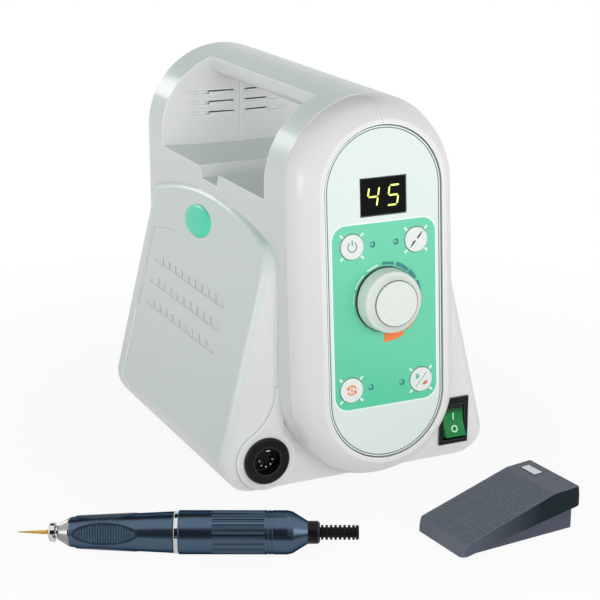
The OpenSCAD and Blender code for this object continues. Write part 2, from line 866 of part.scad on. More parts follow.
// Power switch, in the front wall of the right half
module on_switch() {
    translate([switch_x, -half_l, switch_z]) rotate([90, 0, 0]) children();
}
module switch_frame() {
    inner = [switch_w - 2 * switch_rim, switch_h - 2 * switch_rim];
    color("#101214") on_switch() difference() {
        union() {
            translate([0, 0, -switch_depth])
                linear_extrude(height = switch_depth + over) square([switch_w, switch_h], center = true);
            linear_extrude(height = switch_rim_t)
                square([switch_w, switch_h] + [switch_flange, switch_flange], center = true);
        }
        translate([0, 0, switch_rim_t - switch_well])
            linear_extrude(height = switch_well + over) square(inner, center = true);
        translate([-switch_w, 0, -rocker_axis]) rotate([0, 90, 0])
            cylinder(d = rocker_pin_d, h = 2 * switch_w);
    }
}
module power_rocker() {
    w = switch_w - 2 * switch_rim - 2 * gap;
    h = switch_h / 2 - switch_rim - 1.6;
    face = (h * h + rocker_dip * rocker_dip) / (2 * rocker_dip);
    top = rocker_axis + rocker_horn;
    color("forestgreen") on_switch() translate([-w / 2, 0, -rocker_axis]) rotate([-rocker_tilt, 0, 0])
        rotate([90, 0, 90]) linear_extrude(height = w) difference() {
            polygon([[-h, 1], [-h, top], [h, top], [h, 1], [rocker_pin_d, -3], [-rocker_pin_d, -3]]);
            translate([0, top - rocker_dip + face]) circle(face, $fn = 128);
            circle(d = rocker_pin_d + 2 * run);
        }
}
module rocker_pin() {
    color("silver") on_switch() translate([-switch_w / 2 + 0.3, 0, -rocker_axis]) rotate([0, 90, 0])
        cylinder(d = rocker_pin_d, h = switch_w - 0.6);
}

// Sockets in the rear wall
module mains_inlet() {
    color("#18191b") translate([inlet_x, rear_y, inlet_z]) rotate([-90, 0, 0]) difference() {
        union() {
            translate([0, 0, -inlet_depth])
                linear_extrude(height = inlet_depth + 1) square([inlet_w, inlet_h], center = true);
            linear_extrude(height = 2)
                square([inlet_w, inlet_h] + 2 * [inlet_flange, inlet_flange], center = true);
        }
        translate([0, 0, 2 - 16]) linear_extrude(height = 17)
            polygon([[-11.7, -7.7], [11.7, -7.7], [11.7, 4], [8, 7.7], [-8, 7.7], [-11.7, 4]]);
    }
}
module inlet_blades() {
    color("silver") translate([inlet_x, rear_y, inlet_z]) rotate([-90, 0, 0])
        for (p = [[-7, 2], [7, 2], [0, -2]]) translate([p[0] - 1, p[1] - 2, -14]) cube([2, 4, 11]);
}
module foot_jack() {
    color("#1b1c1e") translate([jack_x, rear_y, jack_z]) rotate([-90, 0, 0]) difference() {
        union() {
            translate([0, 0, -jack_l]) cylinder(d = jack_d, h = jack_l + 1);
            cylinder(d = jack_d + 4, h = 1.6);
            translate([0, 0, 1.6]) cylinder(d1 = jack_d + 4, d2 = jack_d + 2.4, h = 0.8);
        }
        translate([0, 0, -jack_l + 2]) cylinder(d = jack_bore_d, h = jack_l + 3);
    }
}

// Power supply inside the base
module transformer_core() {
    limb = (core_w - coil_w) / 2;
    color("dimgray") translate([-core_w / 2, core_y - core_l / 2, base_z + wall]) difference() {
        cube([core_w, core_l, core_h]);
        for (x = [limb, core_w - limb - limb]) translate([x, -over, limb])
            cube([limb, core_l + 2 * over, core_h - 2 * limb]);
    }
}
module transformer_winding() {
    limb = (core_w - coil_w) / 2;
    inner = coil_w - 2 * limb;
    color("peru") translate([0, core_y, base_z + wall + core_h / 2]) difference() {
        cube([coil_w - 2 * fit, core_l + 2 * limb - 2 * fit, core_h - 2 * limb - 2 * fit], center = true);
        cube([inner + 2 * fit, core_l + 2 * fit, core_h], center = true);
    }
}
module main_board() {
    color("seagreen") translate([-main_board_w / 2, main_board_y - main_board_l / 2, main_board_z])
        cube([main_board_w, main_board_l, board_t]);
}
module heat_sink() {
    pitch = (sink_w - sink_fin_t) / (sink_fins - 1);
    color("silver") translate([-sink_w / 2, main_board_y - sink_back, main_board_z + board_t]) {
        cube([sink_w, sink_t, sink_h]);
        for (i = [0 : sink_fins - 1])
            translate([i * pitch, sink_t - over, 0]) cube([sink_fin_t, sink_fin_l, sink_h]);
    }
}
module capacitors() {
    color("midnightblue") for (i = [-1 : 1])
        translate([i * can_pitch, main_board_y + can_back, main_board_z + board_t])
            cylinder(d = can_d, h = can_h);
}

// Handpiece: fixed pieces
module motor_housing() {
    color("#33475f") on_handpiece() difference() {
        translate([0, 0, motor_z0]) rotate_extrude() polygon([[motor_r - motor_wall, 0], [motor_r - 0.4, 0],
            [motor_r, 0.4], [motor_r, motor_l - 3], [motor_r - 0.7, motor_l],
            [motor_r - motor_wall, motor_l]]);
        for (i = [0 : flutes - 1]) rotate([0, 0, i * 360 / flutes])
            translate([motor_r + flute_r - flute_d, 0, motor_z0 + flute_z])
                cylinder(r = flute_r, h = flute_l);
        for (z = band_z) translate([0, 0, motor_z0 + z])
            tube(motor_d + 2, motor_d - 2 * band_d, band_w);
    }
}
module lock_ring() {
    color("white") on_handpiece() rotate_extrude() polygon([[tube_d / 2 + fit, 0], [sleeve_d / 2, 0],
        [motor_r - 0.3, 0.3], [motor_r - 0.3, ring_l], [tube_d / 2 + fit, ring_l]]);
}
module bearing_tube() {
    z0 = -sleeve_l + 3;
    seat_r = motor_r - motor_wall - fit;
    color("silver") on_handpiece() rotate_extrude() polygon([[tube_bore_d / 2, z0], [tube_d / 2, z0],
        [tube_d / 2, ring_l], [seat_r, ring_l], [seat_r, ring_l + 6], [tube_bore_d / 2, ring_l + 6]]);
}
module front_bearing() {
    color("gainsboro") on_handpiece() translate([0, 0, -sleeve_l + 5])
        tube(tube_bore_d, spindle_d + 2 * run, bearing_w);
}
module rear_bearing() {
    color("gainsboro") on_handpiece() translate([0, 0, motor_z1 - cap_spigot])
        tube(rear_bearing_d, spindle_d + 2 * run, bearing_w);
}
module stator() {
    color("chocolate") on_handpiece() translate([0, 0, ring_l + 7])
        tube(2 * (motor_r - motor_wall) - 2 * fit, rotor_d + 2 * gap, motor_z1 - cap_spigot - ring_l - 8);
}
module end_cap() {
    seat_r = motor_r - motor_wall - fit;
    spigot_z = motor_z1 - cap_spigot;
    cap_z = motor_z1 + cap_l;
    color("#2f4258") on_handpiece() rotate_extrude() polygon([[rear_bearing_d / 2, spigot_z],
        [seat_r, spigot_z], [seat_r, motor_z1], [motor_r - 0.8, motor_z1], [cap_r, cap_z],
        [cord_d / 2, cap_z], [cord_d / 2, cap_z - 4], [rear_bearing_d / 2, cap_z - 6]]);
}
module cord_collar() {
    color("#101012") on_handpiece() translate([0, 0, motor_z1 + cap_l]) rotate_extrude()
        polygon([[cord_d / 2, 0], [collar_d / 2, 0], [collar_d / 2, collar_l - 1],
            [collar_d / 2 - 1, collar_l], [cord_d / 2, collar_l]]);
}
module cord_boot() {
    pitch = boot_l / boot_ribs;
    color("#101012") on_handpiece() translate([0, 0, motor_z1 + cap_l + collar_l]) {
        tube(boot_d - 1.6, cord_d, boot_l);
        for (i = [0 : boot_ribs - 1]) translate([0, 0, (i + 0.25) * pitch]) tube(boot_d, cord_d, pitch / 2);
    }
}
// Handpiece: the sleeve that is twisted to open the chuck
module sleeve_taper(grow) {
    rotate_extrude() polygon([[0, -sleeve_l - over], [sleeve_nose_d / 2 + grow, -sleeve_l - over],
        [sleeve_nose_d / 2 + nose_swell + grow, -sleeve_l + nose_l], [sleeve_d / 2 + grow, over], [0, over]]);
}
module pad_prisms(grow) {
    for (a = [0 : 90 : 270]) rotate([0, 0, a + 73]) translate([0, 0, pad_mid]) rotate([0, 90, 0])
        linear_extrude(height = far / 10) polygon(ellipse(pad_a + grow, pad_b + grow));
}
module front_sleeve() {
    bore = tube_d / 2 + run;
    color("#33475f") on_handpiece() difference() {
        intersection() {
            sleeve_taper(0);
            translate([0, 0, -sleeve_l]) tube(motor_d, 2 * bore, sleeve_l - gap);
        }
        difference() {
            pad_prisms(fit);
            sleeve_taper(-pad_deep);
        }
    }
}
module grip_pads() {
    color("#27374b") on_handpiece() difference() {
        intersection() {
            pad_prisms(0);
            sleeve_taper(pad_high);
        }
        sleeve_taper(-pad_deep);
    }
}
module nose_cone() {
    inner = spindle_d / 2 + gap;
    tip_z = -sleeve_l - cone_l;
    rear_z = -sleeve_l + 3 - gap;
    color("silver") on_handpiece() rotate_extrude() polygon([[inner, tip_z], [cone_d / 2, tip_z],
        [sleeve_nose_d / 2 - 0.2, -sleeve_l - cone_band], [sleeve_nose_d / 2 - 0.2, -sleeve_l],
        [tube_d / 2, -sleeve_l], [tube_d / 2, rear_z], [inner, rear_z]]);
}
// Handpiece: the spindle and what turns with it
module spindle() {
    z0 = -sleeve_l - cone_l - gap - nut_l;
    color("gainsboro") on_handpiece() difference() {
        translate([0, 0, z0]) cylinder(d = spindle_d, h = motor_z1 - cap_spigot + bearing_w + 2 - z0);
        translate([0, 0, z0 - over]) cylinder(d = shank_d, h = 22);
    }
}
module rotor_magnet() {
    color("dimgray") on_handpiece() translate([0, 0, rotor_z]) tube(rotor_d, spindle_d, rotor_l);
}
module collet_nut() {
    rear_r = cone_d / 2 - nut_edge / 2;
    color("white") on_handpiece() translate([0, 0, -sleeve_l - cone_l - gap - nut_l]) difference() {
        rotate_extrude() polygon([[spindle_d / 2, 0], [nut_d / 2 - nut_edge, 0], [nut_d / 2, nut_edge],
            [nut_d / 2, nut_l - nut_waist], [rear_r, nut_l - nut_waist / 2], [rear_r, nut_l],
            [spindle_d / 2, nut_l]]);
        for (s = [0, 1]) rotate([0, 0, 180 * s + 90]) translate([rear_r, 0, nut_l - nut_waist])
            rotate([0, 90, 0]) cylinder(d = nut_notch_d, h = nut_d);
    }
}
module bur() {
    z0 = -sleeve_l - cone_l - gap - nut_l;
    flutes = 6;
    color("goldenrod") on_handpiece() difference() {
        union() {
            translate([0, 0, z0 - 2]) cylinder(d = shank_d, h = 22);
            translate([0, 0, z0 - tool_l + 1]) cylinder(d1 = 0.7, d2 = tool_d, h = tool_l - 2.4);
            translate([0, 0, z0 - tool_l + 1]) sphere(d = 0.7);
            translate([0, 0, z0 - 1.4]) cylinder(d1 = tool_d, d2 = shank_d, h = 0.4);
        }
        for (i = [0 : flutes - 1]) rotate([0, 0, i * 360 / flutes])
            translate([tool_d / 2 + 0.22, 0, z0 - tool_l + 5]) rotate([0, -1.5, 0])
                cylinder(r = 0.4, h = tool_l - 7);
    }
}

// Foot switch
// End of the rounded lip and crest of the tread, set in for the inside
function lip_mid() = [low_lean + lip_r, pedal_low - lip_r];
function lip_at(inset) = lip_mid() + (lip_r - inset) * [cos(lip_turn), sin(lip_turn)];
function crest_at(inset) = [pedal_l * crest, pedal_h - crest_drop - inset];
function tread_slope(inset) = let (d = crest_at(inset) - lip_at(inset)) atan(d[1] / d[0]);
function treadle_under(a) =
    lip_at(pedal_wall)[1] + (a - lip_at(pedal_wall)[0]) * tan(tread_slope(pedal_wall));
function spring_foot() = pad_h + pedal_wall;
function spring_top() = treadle_under(spring_a) - gap;
// Height of the treadle's underside at a place along the base, when it is pressed down
function pressed_under(a) =
    let (slope = tread_slope(pedal_wall), low = slope - pedal_travel)
    pin_z + (a - pin_a) * tan(low) + (treadle_under(pin_a) - pin_z) * cos(slope) / cos(low);
module across_pedal(width) {
    rotate([90, 0, 0]) linear_extrude(height = width, center = true) children();
}
module treadle_profile(inset) {
    lip = [for (t = [170 : -12 : lip_turn]) lip_mid() + (lip_r - inset) * [cos(t), sin(t)]];
    polygon([[inset, skirt_low - inset], each lip, crest_at(inset),
        [pedal_l - end_lean - inset, pedal_h - inset],
        [pedal_l - inset, skirt_high], [pedal_l - inset, skirt_high - inset]]);
}
module treadle_plan() {
    translate([tread_r, -pedal_w / 2]) square([pedal_l - 2 * tread_r, pedal_w]);
    translate([0, -pedal_w / 2 + tread_r]) square([pedal_l, pedal_w - 2 * tread_r]);
    for (a = [tread_r, pedal_l - tread_r], s = [-1, 1])
        translate([a, s * (pedal_w / 2 - tread_r)]) circle(tread_r);
}
module treadle() {
    lip = lip_at(0);
    slope_l = norm(crest_at(0) - lip);
    color("#4a5060") on_pedal() difference() {
        intersection() {
            across_pedal(pedal_w) treadle_profile(0);
            linear_extrude(height = 2 * pedal_h) treadle_plan();
        }
        across_pedal(pedal_w - 2 * skirt_side) {
            treadle_profile(pedal_wall);
            polygon([[pedal_wall, -over], [pedal_wall, skirt_low], [pedal_l - pedal_wall, skirt_high],
                [pedal_l - pedal_wall, -over]]);
        }
        translate([pin_a, 0, pin_z]) rotate([90, 0, 0])
            cylinder(d = pedal_pin_d, h = pedal_w - skirt_side, center = true);
        translate([lip[0], 0, lip[1]]) rotate([0, -tread_slope(0), 0]) for (i = [1 : tread_ribs])
            translate([i * slope_l / (tread_ribs + 1), 0, 0])
                cube([tread_rib, pedal_w - 2 * tread_margin, tread_rib], center = true);
    }
}
module treadle_pin() {
    color("silver") on_pedal() translate([pin_a, 0, pin_z]) rotate([90, 0, 0])
        cylinder(d = pedal_pin_d, h = pedal_w - skirt_side, center = true);
}
module pedal_base() {
    width = pedal_w - 2 * skirt_side - 2 * base_gap;
    end = pedal_l - base_end;
    rear = skirt_high - 1;
    inner = end - pedal_wall;
    tray_a = pin_a + 5;
    heel = pedal_wall + low_lean + 1;
    tray_z = pad_h + pedal_wall;
    color("#50566a") on_pedal() difference() {
        across_pedal(width) polygon([[heel, pad_h], [end, pad_h], [end, rear], [pin_a + 4, pin_z + 1],
            [pin_a, pin_z + 2.3], [heel, pin_z + 0.6]]);
        across_pedal(width - 2 * pedal_wall) polygon([[tray_a, tray_z], [inner, tray_z],
            [inner, rear + over], [tray_a, pin_z + 3]]);
        translate([pin_a, 0, pin_z]) rotate([90, 0, 0])
            cylinder(d = pedal_pin_d + 2 * run, h = pedal_w, center = true);
        translate([end - 3 * pedal_wall, 0, gland_z]) rotate([0, 90, 0])
            cylinder(d = gland_d + 2 * fit, h = 6 * pedal_wall);
    }
}
module pedal_pads() {
    color("#1c1c1e") on_pedal() for (a = [12, pedal_l - base_end - 8], b = [-1, 1])
        translate([a, b * (pedal_w / 2 - 9), 0]) cylinder(d = 8, h = pad_h);
}
module pedal_switch() {
    case_l = 15;
    case_w = 10;
    case_in = 11;
    tip_d = 3;
    case_top = pressed_under(switch_a - case_in) - gap;
    tip_top = pressed_under(switch_a - tip_d / 2) - gap;
    color("#23252a") on_pedal() translate([switch_a, -5, spring_foot()]) {
        translate([-case_in, -case_w / 2, 0]) cube([case_l, case_w, case_top - spring_foot()]);
        cylinder(d = tip_d, h = tip_top - spring_foot());
    }
}
module pedal_spring() {
    rings = 8 * spring_turns;
    high = spring_top() - spring_foot() - spring_wire;
    r = (spring_d - spring_wire) / 2;
    pts = [for (i = [0 : rings], k = [0 : 5])
        let (t = 360 * i / 8, a = 60 * k, rr = r + spring_wire / 2 * cos(a))
        [rr * cos(t), rr * sin(t), spring_wire / 2 + high * i / rings + spring_wire / 2 * sin(a)]];
    sides = [for (i = [0 : rings - 1], k = [0 : 5]) let (p = 6 * i + k, q = 6 * i + (k + 1) % 6)
        each [[p, p + 6, q], [q, p + 6, q + 6]]];
    ends = [for (k = [1 : 4]) each [[0, k, k + 1], [6 * rings, 6 * rings + k + 1, 6 * rings + k]]];
    color("silver") on_pedal() translate([spring_a, 6, spring_foot()]) polyhedron(pts, concat(sides, ends));
}
module cord_gland() {
    flange = 1.5;
    color("#1c1c1e") on_pedal() translate([pedal_l - base_end - pedal_wall - flange, 0, gland_z])
        rotate([0, 90, 0]) difference() {
            union() {
                cylinder(d = gland_d, h = pedal_wall + 3 * flange);
                cylinder(d = gland_d + 2, h = flange);
                translate([0, 0, pedal_wall + flange])
                    cylinder(d1 = gland_d + 2, d2 = gland_d + 1, h = 2 * flange);
            }
            translate([0, 0, -over]) cylinder(d = foot_cord_d, h = 20);
        }
}

shell_left();
shell_right();
rubber_feet();
shell_screws();
side_badge();
front_panel();
panel_overlay();
display_window();
display_module();
panel_board();
tact_switches();
indicator_lamps();
potentiometer();
pot_shaft();
speed_knob();
knob_cap();
run_key();
motor_key();
direction_key();
mode_key();
handpiece_socket();
socket_insert();
socket_contacts();
switch_frame();
power_rocker();
rocker_pin();
mains_inlet();
inlet_blades();
foot_jack();
transformer_core();
transformer_winding();
main_board();
heat_sink();
capacitors();
motor_housing();
lock_ring();
bearing_tube();
front_bearing();
rear_bearing();
stator();
end_cap();
cord_collar();
cord_boot();
front_sleeve();
grip_pads();
nose_cone();
spindle();
rotor_magnet();
collet_nut();
bur();
pedal_base();
pedal_pads();
pedal_switch();
pedal_spring();
cord_gland();
treadle();
treadle_pin();
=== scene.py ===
"""Looks of a bench micromotor set: console with carrying handle, handpiece and foot switch."""

import json
import math

import bmesh
import bpy
from mathutils import Matrix, Vector

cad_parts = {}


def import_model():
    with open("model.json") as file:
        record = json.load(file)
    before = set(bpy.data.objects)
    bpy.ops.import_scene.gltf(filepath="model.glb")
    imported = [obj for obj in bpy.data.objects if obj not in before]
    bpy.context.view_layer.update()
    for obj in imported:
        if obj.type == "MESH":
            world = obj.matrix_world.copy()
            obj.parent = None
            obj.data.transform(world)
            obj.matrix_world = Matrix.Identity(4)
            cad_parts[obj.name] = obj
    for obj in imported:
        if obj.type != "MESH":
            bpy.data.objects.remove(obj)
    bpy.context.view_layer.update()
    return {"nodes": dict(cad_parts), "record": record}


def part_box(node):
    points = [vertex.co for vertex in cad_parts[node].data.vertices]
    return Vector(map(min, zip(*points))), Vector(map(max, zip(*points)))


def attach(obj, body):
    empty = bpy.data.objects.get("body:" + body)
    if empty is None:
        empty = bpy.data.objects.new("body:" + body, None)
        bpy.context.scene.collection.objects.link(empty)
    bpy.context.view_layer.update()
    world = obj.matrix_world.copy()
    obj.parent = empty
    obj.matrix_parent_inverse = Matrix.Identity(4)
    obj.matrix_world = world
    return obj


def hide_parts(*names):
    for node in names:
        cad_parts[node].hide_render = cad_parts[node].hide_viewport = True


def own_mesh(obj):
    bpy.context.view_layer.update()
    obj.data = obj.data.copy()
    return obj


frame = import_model()
nodes = frame["nodes"]
MM = 0.001


def srgb(red, green, blue):
    """A colour as the eye sees it, 0 to 255, made linear."""
    linear = [((v / 255 + 0.055) / 1.055) ** 2.4 for v in (red, green, blue)]
    return (*linear, 1.0)


# Shader maths


class Wire:
    """A socket that takes part in expressions."""

    def __init__(self, finish, socket):
        self.finish = finish
        self.socket = socket

    def math(self, operation, *values):
        return self.finish.node("ShaderNodeMath", {"operation": operation}, dict(enumerate(values)))

    def __add__(self, other):
        return self.math("ADD", self, other)

    def __radd__(self, other):
        return self.math("ADD", other, self)

    def __sub__(self, other):
        return self.math("SUBTRACT", self, other)

    def __rsub__(self, other):
        return self.math("SUBTRACT", other, self)

    def __mul__(self, other):
        return self.math("MULTIPLY", self, other)

    def __rmul__(self, other):
        return self.math("MULTIPLY", other, self)

    def __truediv__(self, other):
        return self.math("DIVIDE", self, other)

    def __abs__(self):
        return self.math("ABSOLUTE", self)

    def below(self, limit):
        return self.math("LESS_THAN", self, limit)

    def most(self, other):
        return self.math("MAXIMUM", self, other)

    def least(self, other):
        return self.math("MINIMUM", self, other)

    def clamped(self):
        return self.least(1.0).most(0.0)

    def root(self):
        return self.math("SQRT", self)


class Finish:
    """One material: a Principled shader with constants, fed by nodes where the surface varies."""

    def __init__(self, name, color, **constants):
        self.material = bpy.data.materials.new(name)
        self.material.use_nodes = True
        self.tree = self.material.node_tree
        self.shader = self.tree.nodes["Principled BSDF"]
        self.shader.inputs["Base Color"].default_value = color
        for socket, value in constants.items():
            self.shader.inputs[SOCKETS[socket]].default_value = value
        self.material.diffuse_color = color

    def node(self, kind, settings=None, sockets=None, out=0):
        made = self.tree.nodes.new(kind)
        for key, value in (settings or {}).items():
            setattr(made, key, value)
        for key, value in (sockets or {}).items():
            if isinstance(value, Wire):
                self.tree.links.new(value.socket, made.inputs[key])
            else:
                made.inputs[key].default_value = value
        return Wire(self, made.outputs[out])

    def feed(self, socket, wire):
        self.tree.links.new(wire.socket, self.shader.inputs[socket])
        return self

    def place(self):
        """Object coordinates in metres, as a vector."""
        return self.node("ShaderNodeTexCoord", out="Object")

    def dot(self, first, second):
        settings = {"operation": "DOT_PRODUCT"}
        return self.node("ShaderNodeVectorMath", settings, {0: first, 1: second}, out="Value")

    def facing(self, direction):
        """How far the surface faces a direction of the object, from -1 to 1."""
        return self.dot(self.node("ShaderNodeTexCoord", out="Normal"), tuple(direction))

    def along(self, direction, start=(0, 0, 0)):
        """Distance from a start along a direction, in millimetres."""
        ends = {0: self.place(), 1: tuple(start)}
        moved = self.node("ShaderNodeVectorMath", {"operation": "SUBTRACT"}, ends)
        return self.dot(moved, tuple(v / MM for v in direction))

    def mixed(self, factor, low, high):
        return self.node("ShaderNodeMix", {"data_type": "RGBA"}, {0: factor, 6: low, 7: high}, out=2)

    def rounded(self, radius_mm):
        """Normal of the surface with its edges rounded."""
        return self.node("ShaderNodeBevel", {"samples": 6}, {"Radius": radius_mm * MM})

    def edges(self, radius_mm, gain=6.0):
        """Share from 0 to 1 of how near an edge the surface is."""
        normal = self.node("ShaderNodeNewGeometry", out="Normal")
        return (gain * (1 - self.dot(self.rounded(radius_mm), normal))).clamped()

    def crests(self, reach_mm, gain=1.5):
        """Share from 0 to 1 of how near an outer edge the surface is."""
        settings = {"inside": True, "samples": 8, "only_local": True}
        free = self.node("ShaderNodeAmbientOcclusion", settings, {"Distance": reach_mm * MM}, out="AO")
        return (gain * (1 - free)).clamped()

    def noise(self, scale, detail=2.0):
        """Noise from 0 to 1, with a scale per metre."""
        sockets = {"Vector": self.place(), "Scale": scale, "Detail": detail}
        return self.node("ShaderNodeTexNoise", {}, sockets)

    def soft_edges(self, radius_mm, height=None, strength=0.3, distance_mm=0.1):
        """Rounds the edges in the shading, over a bump where a height is given."""
        normal = self.rounded(radius_mm)
        if height is not None:
            sockets = {"Strength": strength, "Distance": distance_mm * MM, "Height": height, "Normal": normal}
            normal = self.node("ShaderNodeBump", {}, sockets)
        return self.feed("Normal", normal)


SOCKETS = {
    "roughness": "Roughness",
    "metallic": "Metallic",
    "specular": "Specular IOR Level",
    "grazing": "Specular Tint",
    "coat": "Coat Weight",
    "coat_roughness": "Coat Roughness",
    "glow": "Emission Strength",
}

# Frames of the console's panel and left flank, the handpiece and the foot switch, in metres

LEAN = math.radians(3.8)
FLANK_LEAN = math.atan2(32.5, 132.0)
ROCKER_TILT = math.radians(9.0)
PANEL = Matrix.Translation((0, -0.109, 0.116)) @ Matrix.Rotation(math.radians(90) - LEAN, 4, "X")
HANDPIECE = (
    Matrix.Translation((-0.130, -0.1455, 0.0113))
    @ Matrix.Rotation(math.radians(-25.4), 4, "Z")
    @ Matrix.Rotation(math.radians(90), 4, "Y")
)
PEDAL = Matrix.Translation((-0.003, -0.197, 0)) @ Matrix.Rotation(math.radians(5.4), 4, "Z")
HANDPIECE_AXIS = tuple(HANDPIECE.col[2][:3])


def extent(node, place):
    """Lowest and highest corner of a CAD node in a local frame, in millimetres."""
    local = place.inverted()
    points = [(local @ v.co) / MM for v in nodes[node].data.vertices]
    return Vector(map(min, zip(*points))), Vector(map(max, zip(*points)))


def top_face(node, place):
    """Middle and half width of a node's outermost face in a local frame, in millimetres."""
    local = place.inverted()
    points = [(local @ v.co) / MM for v in nodes[node].data.vertices]
    top = max(p.z for p in points)
    wide = [p.x for p in points if p.z > top - 0.01]
    tall = [p.y for p in points if p.z > top - 0.01]
    middle = Vector(((min(wide) + max(wide)) / 2, (min(tall) + max(tall)) / 2, top))
    return middle, (max(wide) - min(wide)) / 2


def middle_of(node):
    """Middle of a CAD node's box, in metres."""
    low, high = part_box(node)
    return (low + high) / 2


# Finishes

CASING_FRONT = srgb(230, 229, 228)
# Mint of the painted sheen on faces turned up and sideways, then the pale colour of the flakes and of the
# painted highlights
CASING_MINT_SHEEN = srgb(192, 219, 211)
CASING_FLAKE_AND_HIGHLIGHT = srgb(248, 252, 250)
FLAKE_SHARE = 0.16
RIM_HIGHLIGHT_SHARE = 0.85
PANEL_WHITE = srgb(226, 238, 234)
PANEL_EDGE = srgb(240, 254, 249)
GREEN_LOW = srgb(98, 210, 168)
GREEN_HIGH = srgb(110, 213, 176)
SHEET_EDGE_SHADE = srgb(84, 96, 94)
# The panel's green field and the sheet's border and its lines of painted shade, in millimetres from the panel's
# middle
FIELD = {"half_w": 31.0, "half_h": 50.5, "middle": -11.0, "radius": 8.0}
FIELD_BORDER = 0.8
SHEET_BORDER = 1.2
SHEET_SHADE_LINE = 0.32
GREEN_FOOT = -60.0
GREEN_RISE = 110.0
# Where the slit rows of both flanks lie, in millimetres
LOUVRES = {"x": 50.0, "z": 95.0, "half_h": 30.0}


def pearl_casing():
    """Pale plastic with fine flakes, a painted mint sheen on faces turned up and sideways behind the bezel, and
    painted highlights on rims and slit ledges.
    """
    finish = Finish("pearl_casing", CASING_FRONT, coat=0.35, coat_roughness=0.12)
    behind = (-0.4 * finish.along(PANEL.col[2][:3], PANEL.translation)).clamped()
    # Painted sheen: faces turned up and to the sides, behind the bezel, turn mint in place of the light falling
    # on them.
    painted_sheen = (0.8 * finish.facing((0, 0, 1)) + 0.3 * abs(finish.facing((1, 0, 0)))).clamped() * behind
    flakes = finish.noise(2600.0, 1.0)
    color = finish.mixed(flakes * FLAKE_SHARE, finish.mixed(painted_sheen, CASING_FRONT, CASING_MINT_SHEEN), CASING_FLAKE_AND_HIGHLIGHT)
    # Painted highlight on the upward faces of the slit ledges in the louvre rows.
    ledge = (4.0 * (finish.facing((0, 0, 1)) - 0.4)).clamped()
    level = abs(finish.along((0, 0, 1)) - LOUVRES["z"]).below(LOUVRES["half_h"])
    flank = 1 - abs(finish.along((1, 0, 0))).below(LOUVRES["x"])
    rows = level * flank
    # Painted highlight along the outer edges, outside the louvre rows.
    bright = (RIM_HIGHLIGHT_SHARE * finish.crests(1.0, 3.0) * (1 - rows)).most(ledge * rows)
    finish.feed("Base Color", finish.mixed(bright, color, CASING_FLAKE_AND_HIGHLIGHT))
    finish.feed("Roughness", 0.25 + 0.12 * flakes)
    return finish.soft_edges(0.7, finish.noise(900.0), 0.04, 0.05)


def darker(color, share):
    return tuple(v * (1 - share) for v in color[:3]) + (1.0,)


def moulded(name, color, roughness, edge=0.4, strength=0.1, tone=0.12, edge_highlight=None, **constants):
    """Plastic or rubber with a fine grain, and a painted highlight colour on its outer edges where one is
    given.
    """
    finish = Finish(name, color, **constants)
    fine = finish.noise(700.0, 3.0)
    grained = finish.mixed(fine, color, darker(color, tone))
    # Painted highlight: the outer edges take a paler colour.
    if edge_highlight is not None:
        grained = finish.mixed(finish.crests(2 * edge), grained, edge_highlight)
    finish.feed("Base Color", grained)
    finish.feed("Roughness", (roughness - 0.06) + 0.12 * fine)
    return finish.soft_edges(edge, fine, strength, 0.05)


def turned(name, color, roughness, edge=0.2, metallic=1.0, direction=None, depth=1.0, **constants):
    """Metal with fine turning marks, which run round an axis where its direction is given."""
    finish = Finish(name, color, metallic=metallic, **constants)
    if direction is None:
        marks = finish.noise(1500.0)
    else:
        sockets = {"W": finish.along(direction), "Scale": 6.0}
        marks = finish.node("ShaderNodeTexNoise", {"noise_dimensions": "1D"}, sockets)
    finish.feed("Base Color", finish.mixed(marks, color, darker(color, 0.14 * depth)))
    finish.feed("Roughness", (roughness - 0.05 * depth) + 0.1 * depth * marks)
    return finish.soft_edges(edge)


def rocker_plastic():
    """Green plastic, with painted shade that makes its sunk upper end nearly black."""
    finish = Finish("green_rocker", srgb(22, 124, 62), specular=0.25)
    rise = finish.along((0, 0, 1), middle_of("power_rocker"))
    fine = finish.noise(400.0)
    lit = finish.mixed(fine, srgb(20, 116, 58), srgb(34, 142, 74))
    # Painted shade: above the rocker's middle the green darkens to nearly black.
    finish.feed("Base Color", finish.mixed(((rise - 2.5) / 4.5).clamped(), lit, srgb(8, 26, 18)))
    finish.feed("Roughness", 0.2 + 0.1 * fine)
    return finish.soft_edges(0.5)


PANEL_LOW, PANEL_HIGH = extent("panel_overlay", PANEL)
PANEL_FACE = PANEL_HIGH.z


def panel_print():
    """Printed sheet: a green field with a pale border, on a pale sheet with grey lines of painted shade along
    its edge.
    """
    finish = Finish("panel_print", PANEL_WHITE, coat=0.3, coat_roughness=0.1, roughness=0.24)
    across = finish.along(PANEL.col[0][:3], PANEL.translation)
    up = finish.along(PANEL.col[1][:3], PANEL.translation)

    def away(half_w, half_h, middle, radius):
        """Distance outside a rectangle with round corners."""
        side = abs(across) - (half_w - radius)
        rise = abs(up - middle) - (half_h - radius)
        out_side = side.most(0.0)
        out_rise = rise.most(0.0)
        corner = (out_side * out_side + out_rise * out_rise).root()
        return corner + side.most(rise).least(0.0) - radius

    field = away(**FIELD)
    half_w = PANEL_HIGH.x
    half_h, middle = (PANEL_HIGH.y - PANEL_LOW.y) / 2, (PANEL_HIGH.y + PANEL_LOW.y) / 2
    sheet = away(half_w, half_h, middle, half_w)
    pale = field.below(FIELD_BORDER).most(1 - sheet.below(-SHEET_BORDER))
    # Painted shade: grey lines at the sheet's outer edge and a little inside it.
    line = abs(sheet + SHEET_BORDER).below(SHEET_SHADE_LINE).most(1 - sheet.below(-SHEET_SHADE_LINE))
    ground = finish.mixed(0.9 * line, finish.mixed(pale, PANEL_WHITE, PANEL_EDGE), SHEET_EDGE_SHADE)
    rise = ((up - GREEN_FOOT) / GREEN_RISE).clamped()
    green = finish.mixed(rise, GREEN_LOW, GREEN_HIGH)
    finish.feed("Base Color", finish.mixed(field.below(0.0), ground, green))
    return finish.soft_edges(0.2)


